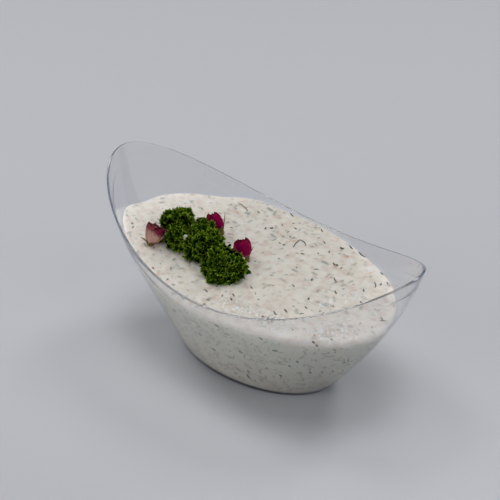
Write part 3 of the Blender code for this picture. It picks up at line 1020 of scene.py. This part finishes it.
chips = [chip(*spot) for spot in PEPPER_CHIPS]
pepper_chips = mesh_object("pepper_chips", *joined(chips))
redness = np.repeat([spot[3] for spot in PEPPER_CHIPS], [len(c[0]) for c in chips])
give_points(pepper_chips, "shade", redness)
orange, tree, shader = new_material("pepper_orange")
shade = given(add(tree, "ShaderNodeAttribute", attribute_name="shade"), "Fac")
skins = add(tree, "ShaderNodeValToRGB", {"Fac": shade})
skins.color_ramp.elements[0].color = (0.58, 0.30, 0.16, 1.0)
skins.color_ramp.elements[1].color = (0.45, 0.15, 0.08, 1.0)
feed(tree, shader.inputs["Base Color"], given(skins))
place = given(add(tree, "ShaderNodeTexCoord"), "Object")
flecks = add(tree, "ShaderNodeTexNoise", {"Vector": place, "Scale": 1500.0, "Detail": 2.0})
rough = add(tree, "ShaderNodeMapRange", {"Value": given(flecks), "To Min": 0.2, "To Max": 0.5})
feed(tree, shader.inputs["Roughness"], given(rough))
shader.inputs["Subsurface Weight"].default_value = 0.2
shader.inputs["Subsurface Scale"].default_value = 0.0008
hand_over(pepper_chips, orange)

# %% Cucumber shreds
CUCUMBER_CUTS = ((3.2, 0.12), (4.4, 0.2), (2.2, 0.3), (5.2, 0.08))

shreds = []
for number, (length, bend) in enumerate(CUCUMBER_CUTS):
    shreds.append(mesh_object(f"cucumber_cut_{number}", *thread(bent(length, bend), 0.6 * MM, sides=7)))
cucumber_cuts = shape_collection("cucumber_cuts", shreds)
cucumber_pale, tree, shader = new_material("cucumber_pale")
place = given(add(tree, "ShaderNodeTexCoord"), "Object")
flesh = add(tree, "ShaderNodeTexNoise", {"Vector": place, "Scale": 420.0, "Detail": 2.0})
greens = add(tree, "ShaderNodeValToRGB", {"Fac": given(flesh)})
greens.color_ramp.elements[0].color = (0.64, 0.57, 0.50, 1.0)
greens.color_ramp.elements[1].color = (0.82, 0.76, 0.68, 1.0)
feed(tree, shader.inputs["Base Color"], given(greens))
rough = add(tree, "ShaderNodeMapRange", {"Value": given(flesh), "To Min": 0.03, "To Max": 0.12})
feed(tree, shader.inputs["Roughness"], given(rough))
shader.inputs["Specular IOR Level"].default_value = 1.0
shader.inputs["Subsurface Weight"].default_value = 0.5
shader.inputs["Subsurface Scale"].default_value = 0.0015
wet_share = np.where(dip_reach < 0.97, wetness**1.5, 0.0)
give_points(dip, "strew", wet_share)
cucumber = strew(
    "cucumber_shreds", dip, cucumber_cuts, cucumber_pale, Seed=21, Apart=2.4 * MM, Lean=0.4,
    Smallest=0.5, Largest=1.0, Deepest=-0.35 * MM, Highest=0.15 * MM, **{"Per square metre": 70000.0})
dip.data.attributes.remove(dip.data.attributes["strew"])
hand_over(cucumber, cucumber_pale)

# %% [markdown]
# ## Curly parsley
#
# A sprig of curly parsley is a cluster of small florets, each a tight ruffle of leaf tips that
# are lighter where they catch the light and nearly black between. The CAD solid gives the
# sprig's outline. A copy of it, merged, shrunk and swollen into floret domes, is the core, painted
# nearly black as painted shade for the depths of the sprig. Over it the strewing tree deals about
# a thousand tiny ruffled leaves. Each leaf is a shallow funnel of few faces with a zigzag edge,
# and it stores how near each point is to that edge, so that the material can paint the tips a
# light yellow-green and the leaf centres nearly black: the leaf's own green with painted light on
# the tips and painted shade in the hollows.

# %% Ruffled leaves
LEAF_POINTS = 18
LEAF_RADII = (1.8, 2.1, 2.5, 1.95, 1.6, 2.3)


def curly_leaf(radius, phase):
    """A small funnel of a leaf with a ruffled edge: points, faces and nearness to the edge."""
    turns = np.linspace(0, 2 * math.pi, LEAF_POINTS, endpoint=False)
    zigzag = np.cos(turns * LEAF_POINTS / 3 + phase)
    points, edges = [(0.0, 0.0, 0.0)], [0.0]
    for share, rise, ruffle in ((0.55, 0.10, 0.08), (1.0, 0.50, 0.20)):
        lobes = 1 + share * (0.18 * np.cos(3 * turns + phase) + 0.12 * np.cos(2 * turns - phase))
        reach = radius * share * lobes * (1 + ruffle * zigzag)
        level = radius * (rise + ruffle * 1.6 * zigzag + 0.30 * share * np.sin(2 * turns + 2 * phase))
        points += list(zip(reach * np.cos(turns), reach * np.sin(turns), level))
        edges += list(share + 0.15 * zigzag * share)
    points.append((0.0, 0.0, -0.7 * radius))
    edges.append(0.0)
    around = [(k, (k + 1) % LEAF_POINTS) for k in range(LEAF_POINTS)]
    last = len(points) - 1
    faces = [(0, 1 + a, 1 + b) for a, b in around]
    faces += [(1 + a, 1 + LEAF_POINTS + a, 1 + LEAF_POINTS + b, 1 + b) for a, b in around]
    faces += [(1 + LEAF_POINTS + b, 1 + LEAF_POINTS + a, last) for a, b in around]
    return points, faces, edges


leaves = []
for number, radius in enumerate(LEAF_RADII):
    points, faces, edges = curly_leaf(radius * MM, 1.9 * number)
    leaf = mesh_object(f"curly_leaf_{number}", points, faces)
    give_points(leaf, "edge", edges)
    leaves.append(leaf)
curly_leaves = shape_collection("curly_leaves", leaves)
print("a leaf has", len(faces), "faces")

# %% Parsley material
parsley_green, tree, shader = new_material("parsley_green")
place = given(add(tree, "ShaderNodeTexCoord"), "Object")
edge_here = given(add(tree, "ShaderNodeAttribute", attribute_name="edge"), "Fac")
shade = given(add(tree, "ShaderNodeAttribute", attribute_name="shade"), "Fac")
patches = add(tree, "ShaderNodeTexNoise", {"Vector": place, "Scale": 260.0, "Detail": 3.0})
lit = add(tree, "ShaderNodeMath", {"Value": given(patches)}, operation="MULTIPLY_ADD")
feed(tree, lit.inputs[1], 0.7)
feed(tree, lit.inputs[2], -0.35)
lighter = add(tree, "ShaderNodeMath", {"Value": given(lit)}, operation="ADD")
feed(tree, lighter.inputs[1], edge_here)
# The ramp paints leaf centres and the core nearly black, a painted shade for the hollows, and the tips a light
# yellow-green, their own green with painted light on it.
greens_with_painted_light_and_shade = add(tree, "ShaderNodeValToRGB", {"Fac": given(lighter)})
greens_with_painted_light_and_shade.color_ramp.elements[0].position = 0.25
greens_with_painted_light_and_shade.color_ramp.elements[0].color = (0.0015, 0.005, 0.0, 1.0)
greens_with_painted_light_and_shade.color_ramp.elements[1].position = 1.0
greens_with_painted_light_and_shade.color_ramp.elements[1].color = (0.54, 0.74, 0.07, 1.0)
greens_with_painted_light_and_shade.color_ramp.elements.new(0.74).color = (0.038, 0.135, 0.0, 1.0)
older = add(tree, "ShaderNodeMapRange", {"Value": shade, "To Min": 0.0, "To Max": 0.75})
shifted = tinted(tree, given(greens_with_painted_light_and_shade), given(older), (0.011, 0.038, 0.0, 1.0))
feed(tree, shader.inputs["Base Color"], shifted)
veins = add(tree, "ShaderNodeTexNoise", {"Vector": place, "Scale": 2200.0, "Detail": 2.0})
wrinkled = add(tree, "ShaderNodeBump", {"Height": given(veins), "Strength": 0.4, "Distance": 0.0002})
feed(tree, shader.inputs["Normal"], given(wrinkled))
shader.inputs["Roughness"].default_value = 0.5
shader.inputs["Specular IOR Level"].default_value = 0.01

# %% Sprigs
FLORET_SPAN = 7.5 * MM
FLORET_HEIGHT = 5.2 * MM
CORE_SHRINK = 3.2 * MM
BUD_CLEARANCE = 6.0 * MM
PRESSED, PRESSED_REACH = 5.5 * MM, 13.0 * MM
bud_middles = [sum(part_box(f"rosebud_{side}"), Vector()) / 2 for side in ("left", "back", "right")]


def merged_copy(node, name):
    """A copy of a CAD node's mesh with its loose triangles joined up."""
    source = bmesh.new()
    source.from_mesh(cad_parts[node].data)
    bmesh.ops.remove_doubles(source, verts=source.verts, dist=0.01 * MM)
    bmesh.ops.recalc_face_normals(source, faces=source.faces)
    mesh = bpy.data.meshes.new(name)
    source.to_mesh(mesh)
    source.free()
    made = bpy.data.objects.new(name, mesh)
    bpy.context.scene.collection.objects.link(made)
    return made


def evened(target, voxel):
    """Rebuilds the target's mesh from small even faces."""
    remesh = target.modifiers.new("even", "REMESH")
    remesh.mode = "VOXEL"
    remesh.voxel_size = voxel
    mesh = evaluated_mesh(target)
    target.modifiers.clear()
    target.data = mesh


def sprig(name, node, seed):
    """A core swollen into florets, with ruffled leaves strewn over it, as one mesh."""
    core = merged_copy(node, name)
    evened(core, 1.0 * MM)
    points = np.array([tuple(v.co) for v in core.data.vertices])
    normals = normals_of(core)
    near = [noise.voronoi(Vector(p) / FLORET_SPAN + Vector((seed, 0, 0)))[0][0] for p in points]
    dome = FLORET_HEIGHT * (0.55 - np.minimum(np.array(near), 0.9) ** 1.5)
    to_bud = np.min([np.linalg.norm(points - np.array(m), axis=1) for m in bud_middles], axis=0)
    pressed_and_side_light = PRESSED * np.maximum(1 - to_bud / PRESSED_REACH, 0)
    points += normals * (dome - CORE_SHRINK - pressed_and_side_light)[:, None]
    core.data.vertices.foreach_set("co", points.astype(np.float32).ravel())
    core.data.update()
    give_points(core, "strew", np.where((normals_of(core)[:, 2] > -0.6) & (to_bud > BUD_CLEARANCE), 1.0, 0.0))
    cover = strew(
        name + "_leaves", core, curly_leaves, parsley_green, Seed=seed, Apart=1.5 * MM, Lean=0.95,
        Smallest=0.65, Largest=1.1, Deepest=-0.5 * MM, Highest=1.3 * MM, **{"Per square metre": 900000.0})
    cover.data.shade_flat()
    with_core = bmesh.new()
    with_core.from_mesh(cover.data)
    with_core.from_mesh(core.data)
    with_core.to_mesh(core.data)
    with_core.free()
    core.data.shade_flat()
    bpy.data.objects.remove(cover)
    return core


sprigs = []
for seed, side in enumerate(("left", "middle", "right"), 3):
    sprigs.append(sprig(f"curly_parsley_{side}", f"parsley_{side}", seed))
    hand_over(sprigs[-1], parsley_green, [f"parsley_{side}"])

# %% [markdown]
# ## Stalks and dabs
#
# Three small things come from handling. A dry grassy stem lies at the back of the dip, a
# parsley stalk pokes out between two tufts, and the spoon left a few dabs of dip on the leaves.
# The stems are threads like the dill, thicker and brown. The dabs are small uneven balls that
# rest on whatever lies highest at their place.

# %% Stalks
DRY_STEM = ((-54.6, 40.6), (-48.8, 39.9), (-43.8, 37.6))
STALK = ((-36.5, -21.5), (-33.6, -24.2), (-31.6, -26.4))
lines = [
    thread([on_dip(x, y, 0.25) for x, y in curved(DRY_STEM, 9)], 0.3 * MM, sides=8),
    thread([on_dip(x, y, 1.1 - 0.5 * share) for share, (x, y) in enumerate(curved(STALK, 4))], 0.75 * MM, sides=8),
]
stalks = mesh_object("stalks", *joined(lines))
stalk_brown, tree, shader = new_material("stalk_brown")
place = given(add(tree, "ShaderNodeTexCoord"), "Object")
fibres = add(tree, "ShaderNodeTexNoise", {"Vector": place, "Scale": 420.0, "Detail": 4.0})
browns = add(tree, "ShaderNodeValToRGB", {"Fac": given(fibres)})
browns.color_ramp.elements[0].color = (0.20, 0.17, 0.08, 1.0)
browns.color_ramp.elements[1].color = (0.46, 0.38, 0.24, 1.0)
feed(tree, shader.inputs["Base Color"], given(browns))
shader.inputs["Roughness"].default_value = 0.6
hand_over(stalks, stalk_brown)

# %% Dabs of dip
DABS = ((-42.4, -18.2, 1.5), (-41.2, -19.6, 1.1), (-22.5, -5.9, 1.0), (-3.4, -9.4, 1.0), (-5.4, -8.0, 0.8))
heaps = [BVHTree.FromObject(heap, bpy.context.evaluated_depsgraph_get()) for heap in sprigs]


def ball(radius, stretch, middle):
    """A closed uneven ball, drawn out along Z, in mm."""
    shell = bmesh.new()
    bmesh.ops.create_icosphere(shell, subdivisions=3, radius=1.0)
    points = [Vector(v.co) * (1 + 0.08 * noise.noise(v.co * 2.1)) for v in shell.verts]
    points = np.array([(p.x * radius, p.y * radius, p.z * radius * stretch + middle) for p in points])
    faces = [tuple(v.index for v in face.verts) for face in shell.faces]
    shell.free()
    return points, faces, np.clip((points[:, 2] - middle) / (radius * stretch) / 2 + 0.5, 0, 1)


def on_leaves(x, y):
    """The highest point of the sprigs or the dip above a place in plan, in mm."""
    start, down = Vector((x * MM, y * MM, 0.2)), Vector((0, 0, -1))
    hits = [heap.ray_cast(start, down)[0] for heap in heaps] + [on_dip(x, y)]
    return max((hit for hit in hits if hit), key=lambda hit: hit.z)


dabs = []
for x, y, size in DABS:
    points, faces, _ = ball(size, 0.75, 0.0)
    dabs.append((points * MM + np.array(on_leaves(x, y)), faces))
dip_dabs = mesh_object("dip_dabs", *joined(dabs))
hand_over(dip_dabs, yoghurt)

# %% [markdown]
# ## Dried rosebuds
#
# A dried rosebud is a few layers of cupped petals wound round one another, dark magenta at
# their edges and paler towards the base, held by five narrow brown-green sepals on a small hip.
# Every petal here is one rectangular patch bent by the same formula: it wraps part of the way
# round the bud's axis, follows a swelling profile, narrows to a rounded tip and is a little
# ruffled. The profile can close over the top, for a shut bud, or stay open as a cup, which
# then shows the cream inner petals and the stamens. Solidify gives the patches their thickness.

# %% Petals and sepals
PETAL_ROWS, PETAL_COLUMNS = 12, 11
GOLDEN_TURN = math.radians(137.5)


def grid_faces(rows, columns):
    """The faces of a rectangular patch of points."""
    return [
        (r * columns + c, r * columns + c + 1, (r + 1) * columns + c + 1, (r + 1) * columns + c)
        for r in range(rows - 1) for c in range(columns - 1)
    ]


def petal(turn, half_wrap, girth, height, closing, flare, phase):
    """A cupped petal round +Z in mm, and how far up it each point is."""
    up, side = np.meshgrid(np.linspace(0, 1, PETAL_ROWS), np.linspace(-1, 1, PETAL_COLUMNS), indexing="ij")
    narrowed = np.sqrt(1 - (np.maximum(up - 0.52, 0) / 0.5) ** 2) * (0.45 + 0.55 * np.minimum(up / 0.3, 1))
    angle = turn + side * half_wrap * narrowed
    reach = girth * np.sin(math.pi * (0.07 + closing * up)) ** 0.8 * (1 + 0.07 * side)
    reach += flare * np.maximum(up - 0.6, 0) ** 2 * girth * 6
    reach += 0.045 * girth * np.sin(4.2 * side + phase) * up + 0.03 * girth * np.sin(9 * up + 7 * side + phase)
    level = height * (up - 0.08 * side**2 * up + 0.03 * np.sin(6 * side + 2 * phase) * up**2)
    points = np.stack([reach * np.cos(angle), reach * np.sin(angle), level], -1).reshape(-1, 3)
    return points, grid_faces(PETAL_ROWS, PETAL_COLUMNS), up.ravel()


def sepal(turn, length, spread, girth, curl):
    """A narrow pointed sepal that starts below the bud and curls outwards, in mm."""
    rows, columns = 10, 5
    up, side = np.meshgrid(np.linspace(0, 1, rows), np.linspace(-1, 1, columns), indexing="ij")
    lean = spread + curl * up
    step = length / (rows - 1)
    reach = 0.35 * girth + np.cumsum(np.sin(lean), axis=0) * step - np.sin(lean) * step
    level = np.cumsum(np.cos(lean), axis=0) * step - np.cos(lean) * step - 0.4
    width = 1.5 * np.sin(math.pi * (0.12 + 0.86 * up)) ** 0.8 * (1 - 0.5 * up)
    across = side * width + 0.25 * np.sin(5 * up + turn)
    reach = reach - 0.25 * width * (1 - side**2)
    x, y = reach * math.cos(turn) - across * math.sin(turn), reach * math.sin(turn) + across * math.cos(turn)
    return np.stack([x, y, level], -1).reshape(-1, 3), grid_faces(rows, columns), up.ravel()


def shell_of(name, parts, thickness):
    """An object from parts of one kind, thickened, with its heights and tones stored."""
    made = mesh_object(name, *joined([(points, faces) for points, faces, _, _ in parts]))
    give_points(made, "up", np.concatenate([up for _, _, up, _ in parts]))
    give_points(made, "tone", np.repeat([tone for *_, tone in parts], [len(p[0]) for p in parts]))
    if thickness:
        solid = made.modifiers.new("thickness", "SOLIDIFY")
        solid.thickness = thickness
        solid.offset = 0.0
        mesh = evaluated_mesh(made)
        made.modifiers.clear()
        made.data = mesh
    return made


# %% Rosebud materials
def bud_material(name, base, middle, tip, other, roughness):
    """A dry petal or sepal: a ramp from base to tip, tinted by tone, with fine wrinkles."""
    material, tree, shader = new_material(name)
    place = given(add(tree, "ShaderNodeTexCoord"), "Object")
    up = given(add(tree, "ShaderNodeAttribute", attribute_name="up"), "Fac")
    tone = given(add(tree, "ShaderNodeAttribute", attribute_name="tone"), "Fac")
    streaks = add(tree, "ShaderNodeTexNoise", {"Vector": place, "Scale": 700.0, "Detail": 3.0})
    blurred = add(tree, "ShaderNodeMath", {"Value": given(streaks)}, operation="MULTIPLY_ADD")
    feed(tree, blurred.inputs[1], 0.5)
    feed(tree, blurred.inputs[2], -0.25)
    height = add(tree, "ShaderNodeMath", {"Value": given(blurred)}, operation="ADD")
    feed(tree, height.inputs[1], up)
    colours = add(tree, "ShaderNodeValToRGB", {"Fac": given(height)})
    colours.color_ramp.elements[0].color = (*base, 1.0)
    colours.color_ramp.elements[1].color = (*tip, 1.0)
    colours.color_ramp.elements.new(0.24).color = (*middle, 1.0)
    faded = add(tree, "ShaderNodeMapRange", {"Value": given(height), "From Min": 0.66, "From Max": 0.90,
                                             "To Min": 1.0, "To Max": 0.12})
    paler = add(tree, "ShaderNodeMath", {"Value": given(faded)}, operation="MULTIPLY")
    feed(tree, paler.inputs[1], tone)
    feed(tree, shader.inputs["Base Color"], tinted(tree, given(colours), given(paler), (*other, 1.0)))
    wrinkles = add(tree, "ShaderNodeTexNoise", {"Vector": place, "Scale": 1400.0, "Detail": 3.0})
    creased = add(tree, "ShaderNodeBump", {"Height": given(wrinkles), "Strength": 0.5, "Distance": 0.0003})
    feed(tree, shader.inputs["Normal"], given(creased))
    shader.inputs["Roughness"].default_value = roughness
    shader.inputs["Specular IOR Level"].default_value = 0.05
    return material


petal_red = bud_material(
    "petal_magenta", (0.54, 0.20, 0.24), (0.38, 0.001, 0.092), (0.22, 0.0, 0.040), (0.90, 0.62, 0.46), 0.6)
sepal_brown = bud_material(
    "sepal_brown", (0.16, 0.09, 0.03), (0.24, 0.165, 0.06), (0.34, 0.25, 0.11), (0.13, 0.13, 0.035), 0.65)
stamen_orange = bud_material(
    "stamen_orange", (0.42, 0.24, 0.05), (0.40, 0.19, 0.04), (0.33, 0.13, 0.03), (0.5, 0.33, 0.12), 0.6)

# %% Rosebuds
# Each: lean and heading in degrees, a shift in mm, length and half girth in mm, layers of (petals, girth,
# closing, flare, tone), sepals of (turn in degrees, length, spread, curl), whether stamens show
ROSEBUDS = {
    "left": (25, 70, (-1.2, -1.1, 0.0), 11.5, 6.0, (
        (3, 0.40, 0.80, 0.0, 0.2), (4, 0.62, 0.76, 0.02, 0.5), (4, 0.84, 0.66, 0.06, 0.25),
        (4, 1.0, 0.60, 0.14, 0.9)), (
        (-24, 14.0, 0.72, 0.55), (22, 11.0, 0.35, 0.45), (100, 8.0, 0.4, 0.5), (165, 6.0, 0.9, 0.6), (245, 5.0, 0.7, 0.9)), True),
    "back": (29, 194, (-0.5, -0.4, 2.2), 13.0, 4.6, (
        (4, 0.45, 0.86, 0.0, 0.0), (4, 0.68, 0.85, 0.0, 0.0), (5, 0.88, 0.82, 0.0, 0.0),
        (4, 1.0, 0.74, 0.02, 0.0)), (
        (206, 12.0, 0.62, -0.15), (80, 7.0, 0.9, 0.9), (150, 7.0, 0.6, 0.6), (10, 6.0, 0.4, 0.4), (300, 8.0, 1.1, 0.4)), False),
    "right": (20, 180, (-0.9, 1.0, 2.0), 11.5, 5.2, (
        (4, 0.45, 0.84, 0.0, 0.0), (4, 0.68, 0.82, 0.0, 0.0), (5, 0.9, 0.76, 0.02, 0.05),
        (4, 1.02, 0.70, 0.04, 0.0)), (
        (222, 7.0, 0.6, 0.2), (110, 5.5, 0.8, 0.5), (180, 5.0, 0.4, 0.4), (290, 5.0, 0.6, 0.7), (20, 6.5, 0.7, 0.3)), False),
}


def bud_parts(length, half_girth, layers, sepals, stamens):
    """The petals, the green parts and the stamens of a bud that stands on the origin, in mm."""
    petals, number = [], 0
    for count, girth, closing, flare, tone in layers:
        for _ in range(count):
            tall = length * (0.80 + 0.16 * girth + dice.uniform(-0.05, 0.05))
            wrap = dice.uniform(0.95, 1.25) if girth > 0.5 else 1.4
            shape = petal(number * GOLDEN_TURN, wrap, girth * half_girth, tall, closing, flare, number * 2.3)
            petals.append((*shape, min(max(tone + dice.uniform(-0.2, 0.2), 0), 1)))
            number += 1
    greens = [(*sepal(math.radians(turn), size, spread, half_girth, curl), dice.uniform(0, 0.8))
              for turn, size, spread, curl in sepals]
    hip = (*ball(2.3, 0.95, -0.6), 0.1)
    threads = []
    for _ in range(26 if stamens else 0):
        turn, reach, top = dice.uniform(0, 2 * math.pi), dice.uniform(0.1, 0.34), dice.uniform(0.45, 0.72)
        foot = np.array((0.25 * math.cos(turn), 0.25 * math.sin(turn), 1.5))
        head = np.array((reach * half_girth * math.cos(turn), reach * half_girth * math.sin(turn), top * length))
        points, faces = thread(np.linspace(foot, head, 5), 0.14)
        threads.append((np.array(points), faces, np.zeros(len(points)), 0.6))
        points, faces, up = ball(0.42, 1.3, 0.0)
        threads.append((points + head, faces, up, dice.uniform(0, 0.4)))
    return petals, greens, hip, threads


def settle(target, lean, heading, shift, node):
    """Turns a bud made in mm on the origin to its lean, and lays it where its CAD solid lies."""
    low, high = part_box(node)
    tilt = Matrix.Rotation(math.radians(heading), 3, "Z") @ Matrix.Rotation(math.radians(lean), 3, "Y")
    base = (low + high) / 2 - tilt @ Vector((0, 0, 5.2 * MM)) + Vector(shift) * MM
    turned = (tilt * MM).to_4x4()
    turned.translation = base
    target.data.transform(turned)


for side, (lean, heading, shift, length, half_girth, layers, sepals, stamens) in ROSEBUDS.items():
    petals, greens, hip, threads = bud_parts(length, half_girth, layers, sepals, stamens)
    pieces = [
        (shell_of(f"rosebud_{side}_petals", petals, 0.22), petal_red),
        (shell_of(f"rosebud_{side}_sepals", greens, 0.3), sepal_brown),
        (shell_of(f"rosebud_{side}_hip", [hip], 0.0), sepal_brown),
    ]
    if threads:
        pieces.append((shell_of(f"rosebud_{side}_stamens", threads, 0.0), stamen_orange))
    for number, (piece, finish) in enumerate(pieces):
        settle(piece, lean, heading, shift, f"rosebud_{side}")
        hand_over(piece, finish, [f"rosebud_{side}"] if number == 0 else [])

# %% [markdown]
# ## Table and lights
#
# The dish stands alone on a pale, slightly cool table. Two soft boxes behind it, high on either
# side, rake over the spooned surface and throw two soft shadows forwards, and a pale room all
# round fills in the side that faces the viewer. The boxes are placed by the camera's own
# directions, "right", "left" and "away", which were worked out with the camera.

# %% Table
TABLE_HALF = 3.0
corners = [(-TABLE_HALF, -TABLE_HALF, 0), (TABLE_HALF, -TABLE_HALF, 0), (TABLE_HALF, TABLE_HALF, 0), (-TABLE_HALF, TABLE_HALF, 0)]
floor = mesh_object("table", corners, [(0, 1, 2, 3)])
pale, tree, shader = new_material("pale_table")
shader.inputs["Base Color"].default_value = (0.66, 0.665, 0.70, 1.0)
shader.inputs["Roughness"].default_value = 0.6
floor.data.materials.append(pale)
floor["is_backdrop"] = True

# %% Lights
away = -flat_back


def soft_box(name, turn, lift, reach, size, power, colour):
    """A square lamp aimed at the dish: turned from "away" to the right, lifted, at a reach."""
    turn, lift = math.radians(turn), math.radians(lift)
    way = away * math.cos(turn) + to_right * math.sin(turn)
    place = (way * math.cos(lift) + Vector((0, 0, math.sin(lift)))) * reach
    made = bpy.data.objects.new(name, bpy.data.lights.new(name, "AREA"))
    made.data.shape = "SQUARE"
    made.data.size = size
    made.data.energy = power
    made.data.color = colour
    made.location = place
    made.rotation_mode = "QUATERNION"
    made.rotation_quaternion = (Vector((0, 0, 0.04)) - place).to_track_quat("-Z", "Y")
    bpy.context.scene.collection.objects.link(made)
    return made


soft_box("top_box", 0, 86, 1.5, 0.7, 4.8, (1, 1, 1))
soft_box("right_box", 45, 44, 1.5, 0.45, 4.1, (1, 1, 1))
soft_box("left_box", -45, 44, 1.5, 0.45, 4.5, (1, 1, 1))
soft_box("right_front_box", 128, 38, 1.5, 0.8, 2.7, (1, 1, 1))
soft_box("left_front_box", -118, 27, 1.5, 1.0, 3.2, (1, 1, 1))
world = bpy.data.worlds.new("studio")
bpy.context.scene.world = world
world.use_nodes = True
world.node_tree.nodes["Background"].inputs["Color"].default_value = (0.88, 0.94, 1.0, 1)
world.node_tree.nodes["Background"].inputs["Strength"].default_value = 0.13
bpy.context.scene.view_settings.view_transform = "Standard"

# %% [markdown]
# ## Sizes
#
# The sizes of the boxes round the CAD model and round the dressed model are both printed, in mm.
# The dressed model must not be larger than the CAD model that it stands for.

# %% Sizes
visual_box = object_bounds()
sizes = {"cad": [list(corner) for corner in cad_box], "visual": [list(corner) for corner in visual_box]}
for name, (low, high) in sizes.items():
    print(name, "mm:", [round((b - a) / MM, 1) for a, b in zip(low, high)])
